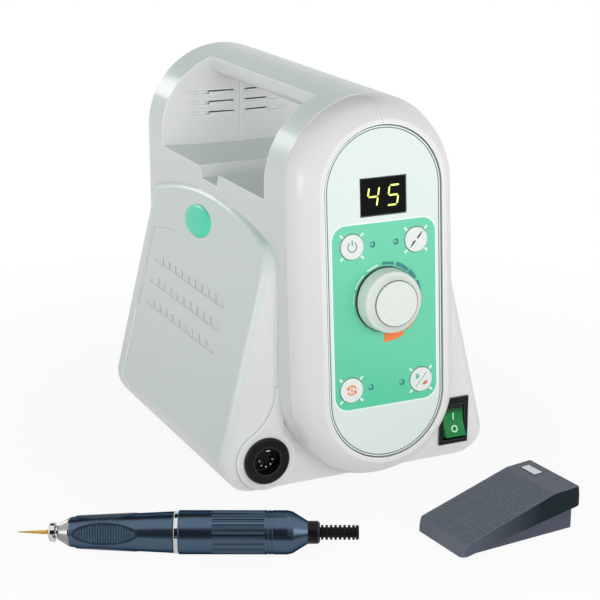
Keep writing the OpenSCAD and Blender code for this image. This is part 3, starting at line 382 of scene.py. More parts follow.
def treadle_plastic():
    """Grey moulded plastic with painted shade on its long sides, darker towards the high end, and painted
    highlights along its edges.
    """
    slate = srgb(112, 118, 131)
    finish = Finish("treadle_plastic", slate, specular=0.2)
    fine = finish.noise(700.0, 3.0)
    side = ((abs(finish.facing(PEDAL.col[1][:3])) - 0.7) * 4.0).clamped()
    length = ((finish.along(PEDAL.col[0][:3], PEDAL.translation) - 5.0) / 45.0).clamped()
    grained = finish.mixed(fine, slate, srgb(96, 102, 116))
    # Painted shade: the long sides darken towards the treadle's high end.
    shaded = finish.mixed(side * (0.35 + 0.65 * length), grained, srgb(28, 42, 46))
    # Painted highlight: a paler colour along the edges, the ribs' edges too.
    finish.feed("Base Color", finish.mixed(0.6 * finish.edges(0.5), shaded, srgb(160, 168, 178)))
    finish.feed("Roughness", 0.42 + 0.12 * fine)
    return finish.soft_edges(0.5, fine, 0.1, 0.05)


def lit_segment():
    """Lamp segment that glows unevenly."""
    lime = srgb(214, 228, 96)
    finish = Finish("lit_segment", lime, roughness=0.4, glow=0.9)
    glow = finish.mixed(finish.noise(500.0), srgb(200, 220, 70), srgb(232, 240, 150))
    finish.feed("Base Color", glow)
    return finish.feed("Emission Color", glow)


FINISHES = {
    "casing": pearl_casing(),
    "panel": panel_print(),
    # Painted highlight along the badge's outer edges.
    "badge": moulded(
        "badge_resin", srgb(80, 236, 194), 0.2, tone=0.04, edge_highlight=srgb(168, 240, 214), specular=0.3
    ),
    "display": moulded("display_glass", srgb(8, 9, 12), 0.12, 0.3, strength=0.0, specular=0.1),
    "key": moulded("key_white", srgb(232, 238, 235), 0.35, 0.3, tone=0.03),
    "knob": moulded("knob_white", srgb(226, 234, 225), 0.36, 0.3, tone=0.03),
    "lamp": moulded("lamp_lens", srgb(120, 200, 196), 0.15, 0.2, specular=0.3),
    # Painted highlight along the outer edges of the black plastic.
    "black": moulded("black_plastic", srgb(14, 15, 17), 0.3, 0.4, edge_highlight=srgb(74, 80, 84), specular=0.2),
    "rubber": moulded("black_rubber", srgb(16, 17, 20), 0.5, 0.3, specular=0.2),
    "rocker": rocker_plastic(),
    "steel": turned("bright_steel", srgb(190, 188, 186), 0.25, direction=HANDPIECE_AXIS),
    "chrome": turned("polished_chrome", srgb(226, 228, 232), 0.1),
    "gold": turned("gold_coat", srgb(226, 190, 96), 0.22),
    "slate": turned(
        "slate_coat",
        srgb(87, 106, 126),
        0.25,
        edge=0.3,
        metallic=0.95,
        direction=HANDPIECE_AXIS,
        depth=0.4,
        specular=0.2,
        grazing=srgb(70, 84, 98),
    ),
    "grip": moulded("slate_rubber", srgb(36, 52, 68), 0.55, 0.2, specular=0.2),
    "pedal": moulded("slate_plastic", srgb(84, 86, 102), 0.5, 0.5, specular=0.2),
    "board": moulded("circuit_board", srgb(30, 96, 60), 0.4, 0.1),
    "iron": moulded("laminated_iron", srgb(86, 84, 82), 0.5, 0.2, metallic=0.8),
    "copper": moulded("taped_winding", srgb(206, 160, 60), 0.45, 0.3),
    "alu": turned("extruded_aluminium", srgb(196, 198, 202), 0.35),
    "part": moulded("component_case", srgb(40, 44, 54), 0.4, 0.3),
}
NODE_FINISHES = {
    "treadle": treadle_plastic(),
    "socket_contacts": FINISHES["chrome"],
    "nose_cone": turned("dark_steel", srgb(168, 166, 164), 0.24, direction=HANDPIECE_AXIS),
    "collet_nut": FINISHES["chrome"],
}

for entry in frame["record"]["subparts"]:
    name = entry["node"]
    finish = NODE_FINISHES.get(name, FINISHES[entry["material_slot"]])
    nodes[name].data.materials.clear()
    nodes[name].data.materials.append(finish.material)


def ink_and_shade(name, color):
    """Printed colour and thinly laid painted shade, both with hardly any relief."""
    return moulded(name, color, 0.35, 0.05, tone=0.06, strength=0.02)


WHITE_INK = ink_and_shade("white_ink", srgb(232, 250, 243))
TEAL_INK = ink_and_shade("teal_ink", srgb(62, 142, 138))
ORANGE_INK = ink_and_shade("orange_ink", srgb(246, 134, 72))
GREY_INK = ink_and_shade("grey_ink", srgb(112, 152, 146))
BLACK_INK = ink_and_shade("black_ink", srgb(24, 28, 30))
GREEN_INK = ink_and_shade("green_ink", srgb(104, 196, 164))
MARK_WHITE = ink_and_shade("mark_white", srgb(196, 246, 214))
LABEL_WHITE = ink_and_shade("label_white", srgb(255, 255, 255))
STUD_RUBBER = moulded("stud_rubber", srgb(72, 94, 114), 0.5, 0.1, specular=0.2)
# Painted shade for the groove round the knob's cap.
CAP_GROOVE_SHADE = ink_and_shade("painted_groove_shade", srgb(96, 112, 104))
BORDER_GREY = moulded("display_border", srgb(70, 86, 92), 0.3, 0.2, specular=0.25)

# Shapes, drawn in millimetres in a local frame


def slab(shape, outline, low, high):
    """A plate with an outline, from a low to a high level."""
    face = shape.faces.new([shape.verts.new((x, y, low)) for x, y in outline])
    risen = bmesh.ops.extrude_face_region(shape, geom=[face])["geom"]
    lifted = [item for item in risen if isinstance(item, bmesh.types.BMVert)]
    bmesh.ops.translate(shape, vec=(0, 0, high - low), verts=lifted)


def block(shape, size, at, turn=0.0):
    """A box with a middle, turned about its upright axis in degrees."""
    made = bmesh.ops.create_cube(shape, size=1.0)["verts"]
    turned_box = Matrix.Rotation(math.radians(turn), 4, "Z") @ Matrix.Diagonal((*size, 1.0))
    bmesh.ops.transform(shape, matrix=Matrix.Translation(at) @ turned_box, verts=made)
    return made


def band(shape, inner, outer, low, high, start=0.0, end=360.0, centre=(0.0, 0.0), fine=6.0):
    """A stretch of a flat ring round a centre, between two angles in degrees."""
    first = math.radians(start)
    spots = ((inner, low), (outer, low), (outer, high), (inner, high))
    ring = [
        shape.verts.new((centre[0] + r * math.cos(first), centre[1] + r * math.sin(first), z)) for r, z in spots
    ]
    whole = end - start >= 360.0
    if whole:
        swept = ring + [shape.edges.new((ring[i - 1], ring[i])) for i in range(4)]
    else:
        face = shape.faces.new(ring)
        swept = ring + list(face.edges) + [face]
    sweep = math.radians(end - start)
    steps = max(2, round((end - start) / fine))
    bmesh.ops.spin(
        shape, geom=swept, cent=(*centre, 0), axis=(0, 0, 1), angle=sweep, steps=steps, use_merge=whole
    )


def lathe(shape, profile, steps=64):
    """A profile of radius and height, turned round the upright axis."""
    ring = [shape.verts.new((radius, 0, height)) for radius, height in profile]
    line = [shape.edges.new(pair) for pair in zip(ring, ring[1:])]
    bmesh.ops.spin(
        shape, geom=ring + line, cent=(0, 0, 0), axis=(0, 0, 1), angle=math.tau, steps=steps, use_merge=True
    )


def arc(across, up, radius, start, end, steps=6):
    """Points along an arc, between two angles in degrees."""
    angles = [math.radians(start + (end - start) * i / steps) for i in range(steps + 1)]
    return [(across + radius * math.cos(a), up + radius * math.sin(a)) for a in angles]


def soften(shape, width, segments=3, sharper_than=25.0, edges=None):
    """Rounds the edges that are sharper than an angle in degrees, or those given."""
    limit = math.radians(sharper_than)
    if edges is None:
        edges = [e for e in shape.edges if len(e.link_faces) == 2 and e.calc_face_angle() > limit]
    bmesh.ops.bevel(
        shape, geom=edges, offset=width, segments=segments, profile=0.5, affect="EDGES", material=-1
    )


def linked(name, data):
    """An object with its data, in the scene."""
    made = bpy.data.objects.new(name, data)
    bpy.context.collection.objects.link(made)
    return made


def meshed(shape, name, finish):
    """An object with a finished shape and its material."""
    mesh = bpy.data.meshes.new(name)
    shape.to_mesh(mesh)
    shape.free()
    mesh.materials.append(finish.material)
    return linked(name, mesh)


CREASE = math.radians(32.0)


def piece(shape, name, body, finish, place, replaces=()):
    """Closes a shape as a named piece that rides on a body."""
    bmesh.ops.remove_doubles(shape, verts=shape.verts[:], dist=0.0005)
    bmesh.ops.recalc_face_normals(shape, faces=shape.faces[:])
    bmesh.ops.transform(shape, matrix=place @ Matrix.Scale(MM, 4), verts=shape.verts[:])
    made = meshed(shape, name, finish)
    made.data.shade_smooth()
    made.data.set_sharp_from_angle(angle=CREASE)
    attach(made, body)
    if replaces:
        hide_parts(*replaces)
    return made


# Panel marks

INK_T = 0.03
KEYS = {
    "run_key": "run_button",
    "motor_key": "motor_button",
    "direction_key": "direction_button",
    "mode_key": "mode_button",
}
TICK_GAP = 0.7
TICK_L = 2.3
TICK_W = 1.2
KNOB_LOW, KNOB_HIGH = extent("speed_knob", PANEL)
KNOB_AT = ((KNOB_LOW.x + KNOB_HIGH.x) / 2, (KNOB_LOW.y + KNOB_HIGH.y) / 2)
KNOB_R = (KNOB_HIGH.x - KNOB_LOW.x) / 2
DIAL_R = KNOB_R + 1.3
# Each step of the dial: its two angles in degrees and its width
WHITE_STEPS = ((165, 182, 0.4), (131, 157, 0.6), (101, 123, 0.9))
TEAL_STEPS = ((73, 94, 1.6), (45, 69, 2.2), (26, 43, 2.7), (4, 22, 3.2))
ORANGE_STEPS = ((-25, -1, 3.7), (-56, -30, 4.2), (-93, -61, 5.2))


def dial_steps(shape, steps):
    low, high = PANEL_FACE - INK_T, PANEL_FACE + INK_T
    for start, end, width in steps:
        band(shape, DIAL_R, DIAL_R + width, low, high, start, end, KNOB_AT)


def panel_marks():
    white = bmesh.new()
    dial_steps(white, WHITE_STEPS)
    for node in KEYS:
        centre, radius = top_face(node, PANEL)
        reach = radius + TICK_GAP + TICK_L / 2
        for angle in (45, 135, 225, 315):
            lean = math.radians(angle)
            at = (centre.x + reach * math.cos(lean), centre.y + reach * math.sin(lean), PANEL_FACE)
            block(white, (TICK_L, TICK_W, 2 * INK_T), at, angle)
    piece(white, "panel_white_marks", "console", WHITE_INK, PANEL)
    colored = (("dial_teal_steps", TEAL_STEPS, TEAL_INK), ("dial_orange_steps", ORANGE_STEPS, ORANGE_INK))
    for name, steps, finish in colored:
        shape = bmesh.new()
        dial_steps(shape, steps)
        piece(shape, name, "console", finish, PANEL)


# Display

DIGIT_PITCH = 12.2
DIGIT_W = 3.0
DIGIT_H = 5.3
DIGIT_SLANT = 0.17
STROKE = 0.95
STROKE_GAP = 0.35
# Each segment's place in shares of the digit's half width and height, and its turn in degrees
SEGMENTS = {
    "top": (0, 1, 0),
    "middle": (0, 0, 0),
    "bottom": (0, -1, 0),
    "upper_left": (-1, 0.5, 90),
    "upper_right": (1, 0.5, 90),
    "lower_right": (1, -0.5, 90),
}
FOUR = ("upper_left", "upper_right", "middle", "lower_right")
FIVE = ("top", "upper_left", "middle", "lower_right", "bottom")
WINDOW_R = 1.6
BORDER_W = 0.7
GLASS_SINK = 0.25
GLASS_OVERLAP = 0.2


def digit(shape, lit, at):
    """A slanted digit of pointed segments."""
    for name in lit:
        x, y, turn = SEGMENTS[name]
        span = (DIGIT_H if turn else 2 * DIGIT_W) - 2 * STROKE_GAP
        tip = STROKE / 2
        straight = span / 2 - tip
        half = [(-straight, -tip), (straight, -tip), (span / 2, 0)]
        side = half + [(-a, -b) for a, b in half]
        if turn:
            side = [(-b, a) for a, b in side]
        moved = [(a + x * DIGIT_W, b + y * DIGIT_H) for a, b in side]
        outline = [(at[0] + a + DIGIT_SLANT * b, at[1] + b) for a, b in moved]
        slab(shape, outline, at[2] - INK_T, at[2] + INK_T)


def display():
    low, high = extent("display_window", PANEL)
    size = high - low
    centre = (low + high) / 2
    frame_shape = bmesh.new()
    block(frame_shape, size, centre)
    upright = [e for e in frame_shape.edges if abs(e.verts[0].co.z - e.verts[1].co.z) > size.z / 2]
    soften(frame_shape, WINDOW_R, 5, edges=upright)
    face = max(frame_shape.faces, key=lambda f: f.calc_center_median().z)
    bmesh.ops.inset_region(frame_shape, faces=[face], thickness=BORDER_W, depth=-2 * GLASS_SINK)
    piece(frame_shape, "display_border", "console", BORDER_GREY, PANEL, ("display_window",))
    glass = bmesh.new()
    less = 2 * (BORDER_W - GLASS_OVERLAP)
    inner = (size.x - less, size.y - less, 2 * GLASS_SINK)
    block(glass, inner, (centre.x, centre.y, high.z - 2 * GLASS_SINK))
    piece(glass, "display_glass", "console", FINISHES["display"], PANEL)
    lit = bmesh.new()
    level = high.z - GLASS_SINK
    digit(lit, FOUR, (centre.x - DIGIT_PITCH / 2, centre.y, level))
    digit(lit, FIVE, (centre.x + DIGIT_PITCH / 2, centre.y, level))
    piece(lit, "display_digits", "console", lit_segment(), PANEL)


# Key symbols, drawn about the middle of each key


def run_symbol(shape, z):
    band(shape, 2.3, 2.95, z - INK_T, z + INK_T, 122, 418)
    block(shape, (0.65, 3.0, 2 * INK_T), (0, 2.2, z))


def motor_symbol(shape, z):
    for s in (1.2, -1.2):
        wedge = [(0.25, 0.1), (1.6, 0.9), (3.1, 3.3), (3.3, 3.7), (2.2, 2.9), (0.5, 1.0)]
        slab(shape, [(s * x, s * y) for x, y in wedge], z - INK_T, z + INK_T)


def direction_symbol(shape, z):
    for half in (0, 180):
        band(shape, 2.1, 2.9, z - INK_T, z + INK_T, 15 + half, 140 + half)
        tip = math.radians(half + 150)
        head = [(2.5, -1.5), (2.5 - 1.5, 0.4), (2.5 + 1.5, 0.4)]
        spots = []
        for radius, drop in head:
            lean = tip - drop / 2.5
            spots.append((radius * math.cos(lean), radius * math.sin(lean)))
        slab(shape, spots, z - INK_T, z + INK_T)
    block(shape, (0.8, 3.0, 2 * INK_T), (0, 0, z))


def mode_line(shape, z):
    block(shape, (10.4, 0.38, 2 * INK_T), (0, 0, z), 48)


def mode_hand(shape, z):
    block(shape, (1.9, 1.7, 2 * INK_T), (-2.4, 1.5, z))
    for i in range(4):
        block(shape, (0.36, 1.5, 2 * INK_T), (-3.15 + 0.5 * i, 2.9, z))
    block(shape, (0.4, 1.2, 2 * INK_T), (-1.2, 2.0, z), -35)


def mode_foot(shape, z):
    for across, up, radius in ((1.6, -2.6, 0.75), (2.9, -2.0, 1.0)):
        slab(shape, arc(across, up, radius, 0, 350, 14), z - INK_T, z + INK_T)
    block(shape, (1.5, 1.2, 2 * INK_T), (2.2, -2.3, z), 25)


def key_symbols():
    drawn = (
        ("run_symbol", "run_key", run_symbol, GREY_INK),
        ("motor_symbol", "motor_key", motor_symbol, BLACK_INK),
        ("direction_symbol", "direction_key", direction_symbol, ORANGE_INK),
        ("mode_line", "mode_key", mode_line, GREY_INK),
        ("mode_hand", "mode_key", mode_hand, GREEN_INK),
        ("mode_foot", "mode_key", mode_foot, ORANGE_INK),
    )
    for name, node, draw, finish in drawn:
        centre, _ = top_face(node, PANEL)
        shape = bmesh.new()
        draw(shape, 0.0)
        piece(shape, name, KEYS[node], finish, PANEL @ Matrix.Translation(centre * MM))


# Speed knob

KNOB_BORE = 8.0
# Height of the knob's black foot ring of painted shade, on which the knob starts, and its reach beyond the knob
FOOT_RING = 0.9
FOOT_RING_OUT = 0.45
KNOB_TAPER = 0.7
RIM_R = 1.4
CROWN = 3.4
CAP_GROOVE = 0.35
CAP_EDGE = 0.35
DIMPLE_R = 1.7
DIMPLE_D = 0.55
DIMPLE_IN = 2.8
DIMPLE_A = math.radians(248)


def speed_knob():
    base = KNOB_LOW.z
    cap_low, cap_high = extent("knob_cap", PANEL)
    cap_r = (cap_high.x - cap_low.x) / 2
    top = cap_high.z
    foot = base + FOOT_RING
    rim = top - CROWN
    side = KNOB_R - KNOB_TAPER
    profile = [(KNOB_BORE, foot), (KNOB_R - 0.4, foot), (KNOB_R, foot + 0.4)]
    profile += arc(side - RIM_R, rim - RIM_R, RIM_R, 10, 75)
    profile += [(cap_r + 2.2, rim + 0.9), (cap_r + 1.0, top - 0.9)]
    profile += arc(cap_r + 0.75, top - 0.9, 0.35, 20, 110, 3)
    profile += [(cap_r + CAP_GROOVE, top - 1.0), (cap_r, top - 1.0), (cap_r, top - CAP_EDGE)]
    profile += arc(cap_r - CAP_EDGE, top - CAP_EDGE, CAP_EDGE, 15, 90, 3)
    flat = cap_r - 2 * CAP_EDGE
    count = round(flat / CAP_EDGE)
    profile += [(flat * (count - i) / count, top) for i in range(count)] + [(0.0, top)]
    shape = bmesh.new()
    lathe(shape, profile, 96)
    dimple_at = Vector((math.cos(DIMPLE_A), math.sin(DIMPLE_A))) * (cap_r - DIMPLE_IN)
    for vert in shape.verts:
        share = (vert.co.xy - dimple_at).length / DIMPLE_R
        if share < 1 and vert.co.z > top - 0.01:
            vert.co.z -= DIMPLE_D * (1 - share**2) ** 1.5
    place = PANEL @ Matrix.Translation((KNOB_AT[0] * MM, KNOB_AT[1] * MM, 0))
    piece(shape, "speed_knob_turned", "knob", FINISHES["knob"], place, ("speed_knob", "knob_cap"))
    # Painted shade: a black ring under the knob's foot stands in for the shadow in the gap between knob and
    # panel.
    ring = bmesh.new()
    band(ring, KNOB_BORE, KNOB_R + FOOT_RING_OUT, base, foot - 0.05, fine=4.0)
    piece(ring, "knob_foot_shade_ring", "knob", FINISHES["black"], place)
    # Painted shade: a grey ring laid in the groove round the cap.
    line = bmesh.new()
    band(line, cap_r - 0.02, cap_r + CAP_GROOVE + 0.02, top - 1.1, top - 0.45, fine=4.0)
    piece(line, "knob_cap_groove_shade", "knob", CAP_GROOVE_SHADE, place)


# Badge on the left flank

BADGE_RIM = 0.7
DOME_SINK = 0.1
DOME_H = 1.1


def badge():
    up = Vector((math.sin(FLANK_LEAN), 0, math.cos(FLANK_LEAN)))
    out = Vector((-math.cos(FLANK_LEAN), 0, math.sin(FLANK_LEAN)))
    along = up.cross(out)
    place = Matrix((along, up, out)).transposed().to_4x4()
    place.translation = middle_of("side_badge")
    low, high = extent("side_badge", place)
    half_l, half_h = (high.x - low.x) / 2, (high.y - low.y) / 2
    dome = arc(0, 0, 1.0, 0, 90, 12)
    profile = [(0.0, low.z), (half_h, low.z), (half_h, high.z - BADGE_RIM)]
    rim = arc(0, 0, 1.0, 10, 70, 4)
    profile += [(half_h * (0.9 + 0.1 * a), high.z - BADGE_RIM * (1 - b)) for a, b in rim]
    profile += [(half_h * 0.93 * a, high.z - DOME_SINK + DOME_H * b) for a, b in dome[2:]]
    shape = bmesh.new()
    lathe(shape, profile, 96)
    bmesh.ops.scale(shape, vec=(half_l / half_h, 1, 1), verts=shape.verts[:])
    piece(shape, "badge_dome", "console", FINISHES["badge"], place, ("side_badge",))


# Marks on the power rocker

ROCKER_FACE = 18.5
ROCKER_FLOOR = 5.4
ON_UP = 1.6
OFF_UP = -5.8


def rocker_marks():
    tilt = Matrix.Rotation(math.radians(90) - ROCKER_TILT, 4, "X")
    pivot = Matrix.Translation(middle_of("rocker_pin")) @ tilt

    def on_face(up):
        """Frame on the rocker's hollow face, at a height above its axis."""
        lean = math.asin(up / ROCKER_FACE)
        level = ROCKER_FLOOR + ROCKER_FACE * (1 - math.cos(lean))
        return pivot @ Matrix.Translation((0, up * MM, level * MM)) @ Matrix.Rotation(lean, 4, "X")

    stroke = bmesh.new()
    block(stroke, (0.75, 4.2, 0.4), (0, 0, 0.02))
    piece(stroke, "rocker_on_mark", "power_switch", MARK_WHITE, on_face(ON_UP))
    ring = bmesh.new()
    band(ring, 1.35, 2.15, -0.2, 0.22)
    piece(ring, "rocker_off_mark", "power_switch", MARK_WHITE, on_face(OFF_UP))


# Bur, boot and grip studs of the handpiece

BUR_LOBES = 5
BUR_TURNS = 2.6
BUR_STEPS = 72
BUR_TIP = 0.22
BUR_SHORT = 0.15
SHANK_OUT = 1.6
BOOT_RIBS = 8
BOOT_BORE = 2.0
BOOT_COLLAR = 1.6
RIB_H = 1.1
RIB_GAP = 34.0


def twisted_bur():
    low, high = extent("bur", HANDPIECE)
    nut_low, _ = extent("collet_nut", HANDPIECE)
    root = nut_low.z
    tip = low.z + BUR_SHORT
    half = (high.x - low.x) / 2
    length = root - tip - 0.8
    shape = bmesh.new()
    outline = []
    for i in range(BUR_LOBES * 8):
        angle = math.tau * i / (BUR_LOBES * 8)
        radius = half * (0.86 + 0.14 * math.cos(BUR_LOBES * angle))
        outline.append(shape.verts.new((radius * math.cos(angle), radius * math.sin(angle), tip)))
    face = shape.faces.new(outline)
    step = (0, 0, length / BUR_STEPS)
    bmesh.ops.spin(
        shape,
        geom=outline + list(face.edges) + [face],
        cent=(0, 0, 0),
        axis=(0, 0, 1),
        dvec=step,
        angle=math.tau * BUR_TURNS,
        steps=BUR_STEPS,
        use_merge=False,
    )
    for vert in shape.verts:
        share = (vert.co.z - tip) / length
        taper = BUR_TIP + (1 - BUR_TIP) * min(1.0, share * 1.15)
        vert.co.x *= taper
        vert.co.y *= taper
    neck = root - SHANK_OUT
    lathe(shape, [(0, neck), (half, neck), (half, high.z), (0, high.z)], 32)
    piece(shape, "twisted_bur", "rotor", FINISHES["gold"], HANDPIECE, ("bur",))


def ribbed_boot():
    low, high = extent("cord_boot", HANDPIECE)
    outer = (high.x - low.x) / 2
    core = outer - RIB_H
    collar = high.z - BOOT_COLLAR
    pitch = (collar - low.z) / BOOT_RIBS
    shape = bmesh.new()
    profile = [(BOOT_BORE, low.z), (core, low.z), (core, collar), (outer - 0.3, collar)]
    profile += [(outer, high.z - 1.2), (outer, high.z - 0.4), (outer - 0.5, high.z)]
    profile += [(BOOT_BORE, high.z), (BOOT_BORE, low.z)]
    lathe(shape, profile, 48)
    for i in range(BOOT_RIBS):
        start = low.z + (i + 0.22) * pitch
        end = start + pitch * 0.56
        for k in range(3):
            turn = 120 * k + 60 * (i % 2)
            band(shape, core - 0.2, outer, start, end, turn + RIB_GAP / 2, turn + 120 - RIB_GAP / 2)
        band(shape, core - 0.2, outer - 0.45, start + pitch * 0.1, start + pitch * 0.46)
    piece(shape, "ribbed_boot", "handpiece", FINISHES["rubber"], HANDPIECE, ("cord_boot",))


STUD_PITCH = 1.35
STUD_ROWS = 1.15
STUD_SIZE = 0.62
STUD_H = 0.3
STUD_BASE = 0.2
PAD_TURN = 73.0
PAD_HALF_L = 16.6
PAD_HALF_W = 5.4
PAD_MARGIN = 0.9
SLEEVE_R = 10.7
SLEEVE_SLOPE = (SLEEVE_R - 8.35) / 47.6


def grip_studs():
    """Rows of small studs that cover the oval grip pads."""
    low, high = extent("grip_pads", HANDPIECE)
    middle = (low.z + high.z) / 2
    shape = bmesh.new()
    columns = int(PAD_HALF_L / STUD_PITCH)
    rows = int(PAD_HALF_W / STUD_ROWS)
    grid = [(c, r) for c in range(-columns, columns + 1) for r in range(-rows, rows + 1)]
    spots = [(c * STUD_PITCH, (r + 0.5 * (c % 2)) * STUD_ROWS) for c, r in grid]
    half_l, half_w = PAD_HALF_L - PAD_MARGIN, PAD_HALF_W - PAD_MARGIN
    outward = Matrix.Rotation(math.radians(90), 4, "Y")
    for quarter in range(4):
        turn = math.radians(90 * quarter + PAD_TURN)
        for along, across in spots:
            if (along / half_l) ** 2 + (across / half_w) ** 2 > 1:
                continue
            z = middle + along
            radius = SLEEVE_R + STUD_BASE + SLEEVE_SLOPE * min(z, 0.0)
            angle = turn + math.asin(across / radius)
            made = bmesh.ops.create_cone(
                shape, cap_ends=True, segments=6, radius1=STUD_SIZE, radius2=STUD_SIZE * 0.6, depth=STUD_H
            )["verts"]
            place = Matrix.Rotation(angle, 4, "Z") @ Matrix.Translation((radius, 0, z)) @ outward
            bmesh.ops.transform(shape, matrix=place, verts=made)
    piece(shape, "grip_studs", "chuck_sleeve", STUD_RUBBER, HANDPIECE)


# Spring below the treadle

COIL_WIRE = 0.5
COIL_TURNS = 5


def treadle_spring():
    low, high = extent("pedal_spring", PEDAL)
    middle = (low + high) / 2
    reach = (high.x - low.x) / 2 - COIL_WIRE
    shape = bmesh.new()
    ring = bmesh.ops.create_circle(shape, cap_ends=True, segments=10, radius=COIL_WIRE)["verts"]
    start = Matrix.Translation((reach, 0, COIL_WIRE)) @ Matrix.Rotation(math.radians(90), 4, "X")
    bmesh.ops.transform(shape, matrix=start, verts=ring)
    steps = 32 * COIL_TURNS
    bmesh.ops.spin(
        shape,
        geom=shape.verts[:] + shape.edges[:] + shape.faces[:],
        cent=(0, 0, 0),
        axis=(0, 0, 1),
        dvec=(0, 0, (high.z - low.z - 2 * COIL_WIRE) / steps),
        angle=math.tau * COIL_TURNS,
        steps=steps,
        use_merge=False,
    )
    foot = PEDAL @ Matrix.Translation(Vector((middle.x, middle.y, low.z)) * MM)
    made = piece(shape, "treadle_spring", "foot_switch", FINISHES["chrome"], foot, ("pedal_spring",))
    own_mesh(made)


# Blank plate on the treadle and latch of the handpiece socket

LABEL = (6.4, 13.0, 0.4)
LABEL_EDGE = 0.6
LABEL_PROUD = 0.04
LABEL_AT = (67.0, 9.8)
# Ends of the treadle's upper slope: distance along it and height
CREST = (58.5, 24.2)
CREST_END = (74.5, 25.0)
LATCH = (2.6, 0.8, 8.0)
LATCH_UP = 6.6


def treadle_label():
    rise = (CREST_END[1] - CREST[1]) / (CREST_END[0] - CREST[0])
    level = CREST[1] + rise * (LABEL_AT[0] - CREST[0])
    spot = Matrix.Translation((LABEL_AT[0] * MM, LABEL_AT[1] * MM, level * MM))
    place = PEDAL @ spot @ Matrix.Rotation(-math.atan(rise), 4, "Y")
    wide, long, thick = LABEL
    sheet = bmesh.new()
    block(sheet, (wide - 2 * LABEL_EDGE, long - 2 * LABEL_EDGE, thick), (0, 0, LABEL_PROUD))
    piece(sheet, "treadle_label", "foot_plate", LABEL_WHITE, place)
    rim = bmesh.new()
    block(rim, LABEL, (0, 0, 0))
    piece(rim, "treadle_label_rim", "foot_plate", FINISHES["black"], place)


def socket_latch():
    low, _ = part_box("socket_insert")
    centre = middle_of("socket_insert")
    place = Matrix.Translation((centre.x, low.y, centre.z)) @ Matrix.Rotation(math.radians(90), 4, "X")
    shape = bmesh.new()
    block(shape, LATCH, (0, LATCH_UP, LATCH[2] / 2))
    soften(shape, 0.15, 2)
    piece(shape, "socket_latch", "console", FINISHES["chrome"], place)


# Slats in the vent slots of the hand hole's rear wall

SLAT = (16.2, 1.6, 1.2)
SLAT_AT = (11.4, 69.9)
VENT_TOP = 195.0
VENT_PITCH = 6.5


def vent_slats():
    shape = bmesh.new()
    for row in range(3):
        for side in (-1, 1):
            block(shape, SLAT, (side * SLAT_AT[0], SLAT_AT[1], VENT_TOP - VENT_PITCH * row + SLAT[2] / 2))
    piece(shape, "vent_slats", "console", FINISHES["casing"], Matrix())


# Stage


SEEN_RAYS = ("Is Camera Ray", "Is Glossy Ray", "Is Transmission Ray")
HORIZON_LIGHT = 0.85
ZENITH_LIGHT = 0.15
FLAG_GRAY = 0.02


def floor():
    """White where it is seen, apart from the shadow near the object; a plain floor for the light."""
    shape = bmesh.new()
    bmesh.ops.create_grid(shape, x_segments=1, y_segments=1, size=6.0)
    finish = Finish("floor_white", (0.9, 0.9, 0.9, 1), roughness=0.9, specular=0.0)
    rays = [finish.node("ShaderNodeLightPath", out=name) for name in SEEN_RAYS]
    distance = finish.node("ShaderNodeVectorMath", {"operation": "LENGTH"}, {0: finish.place()}, out="Value")
    far = ((distance - 0.12) / 0.3).clamped()
    outer = ((distance - 0.3) / 0.5).clamped()
    seen = (rays[0] * (0.9 + 0.1 * far)).most(rays[1].most(rays[2]) * (0.5 + 0.5 * outer))
    white = finish.node("ShaderNodeEmission", {}, {"Strength": 1.0})
    lit = Wire(finish, finish.shader.outputs[0])
    both = finish.node("ShaderNodeMixShader", {}, {0: seen, 1: lit, 2: white})
    output = finish.tree.nodes["Material Output"]
    finish.tree.links.new(both.socket, output.inputs["Surface"])
    meshed(shape, "floor", finish)


def world():
    """White where it is seen; as a light, bright round the horizon and dim overhead."""
    made = bpy.data.worlds.new("studio")
    bpy.context.scene.world = made
    made.use_nodes = True
    tree = made.node_tree
    background = tree.nodes["Background"]
    ray = tree.nodes.new("ShaderNodeLightPath")
    split = tree.nodes.new("ShaderNodeSeparateXYZ")
    tree.links.new(tree.nodes.new("ShaderNodeTexCoord").outputs["Generated"], split.inputs[0])
    sky = tree.nodes.new("ShaderNodeMapRange")
    sky.inputs["To Min"].default_value = HORIZON_LIGHT
    sky.inputs["To Max"].default_value = ZENITH_LIGHT
    tree.links.new(split.outputs["Z"], sky.inputs["Value"])
    strength = sky.outputs[0]
    for name in SEEN_RAYS:
        mix = tree.nodes.new("ShaderNodeMix")
        tree.links.new(ray.outputs[name], mix.inputs[0])
        tree.links.new(strength, mix.inputs[2])
        mix.inputs[3].default_value = 1.0
        strength = mix.outputs[0]
    background.inputs["Color"].default_value = (1, 1, 1, 1)
    tree.links.new(strength, background.inputs["Strength"])


def turned_to(place, aim):
    """Frame at a place whose face looks at an aim."""
    face = (Vector(aim) - Vector(place)).to_track_quat("-Z", "Y").to_matrix().to_4x4()
    return Matrix.Translation(place) @ face


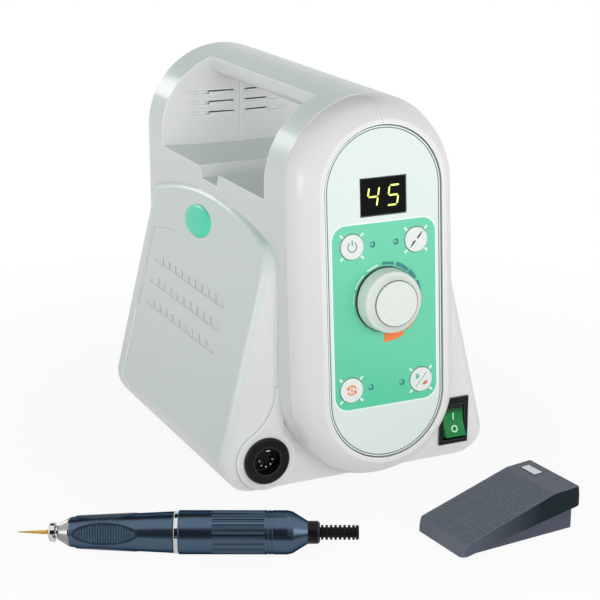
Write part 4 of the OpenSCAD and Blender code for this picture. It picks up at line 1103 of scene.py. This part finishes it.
def flag(name, place, aim, size):
    """A dark board that only reflections show."""
    shape = bmesh.new()
    bmesh.ops.create_grid(shape, x_segments=1, y_segments=1, size=0.5)
    bmesh.ops.scale(shape, vec=(*size, 1), verts=shape.verts[:])
    bmesh.ops.transform(shape, matrix=turned_to(place, aim), verts=shape.verts[:])
    gray = (FLAG_GRAY, FLAG_GRAY, FLAG_GRAY, 1)
    made = meshed(shape, name, Finish(name, gray, roughness=1.0, specular=0.0))
    for ray in ("camera", "diffuse", "transmission", "volume_scatter", "shadow"):
        setattr(made, "visible_" + ray, False)


def softbox(name, place, aim, size, power, mirrored=True):
    """A lamp panel, left out of reflections where it isn't mirrored."""
    lamp = bpy.data.lights.new(name, "AREA")
    lamp.shape = "RECTANGLE"
    lamp.size, lamp.size_y = size
    lamp.energy = power
    made = linked(name, lamp)
    made.matrix_world = turned_to(place, aim)
    made.visible_glossy = mirrored


CAMERA_AT = (-0.4071, -0.8857, 0.380)
CAMERA_DOWN = 17.2
CAMERA_TURN = -25.2


def camera():
    lens = bpy.data.cameras.new("photo_view")
    lens.sensor_width = 36.0
    lens.lens = 100.6
    lens.clip_end = 50.0
    made = linked("photo_view", lens)
    made.location = CAMERA_AT
    made.rotation_euler = (math.radians(90 - CAMERA_DOWN), 0, math.radians(CAMERA_TURN))
    bpy.context.scene.camera = made


panel_marks()
display()
key_symbols()
speed_knob()
badge()
rocker_marks()
twisted_bur()
ribbed_boot()
grip_studs()
treadle_spring()
treadle_label()
socket_latch()
vent_slats()
floor()
world()
flag("rear_flag", (0, 1.1, 1.9), (0, 0, 0), (2.6, 1.3))
flag("low_flag", (-0.2, -0.44, 0.002), (-0.2, -0.44, 1.0), (0.7, 0.46))
flag("front_flag", (-1.3, -3.0, 1.55), (-1.27, -2.9, 1.55), (3.4, 3.1))
softbox("front_box", (-0.3, -1.7, 0.6), (0, 0, 0.1), (1.6, 1.2), 14.6, mirrored=False)
softbox("edge_box", (-1.6, -0.05, 0.25), (0, 0, 0.1), (0.25, 0.6), 2.4)
softbox("rim_box", (-0.65, 1.7, 0.65), (0, 0, 0.12), (0.4, 0.4), 1.9)
softbox("right_box", (1.3, -1.2, 0.35), (0, 0, 0.1), (0.8, 0.6), 3.2)
camera()
bpy.context.scene.view_settings.view_transform = "Standard"
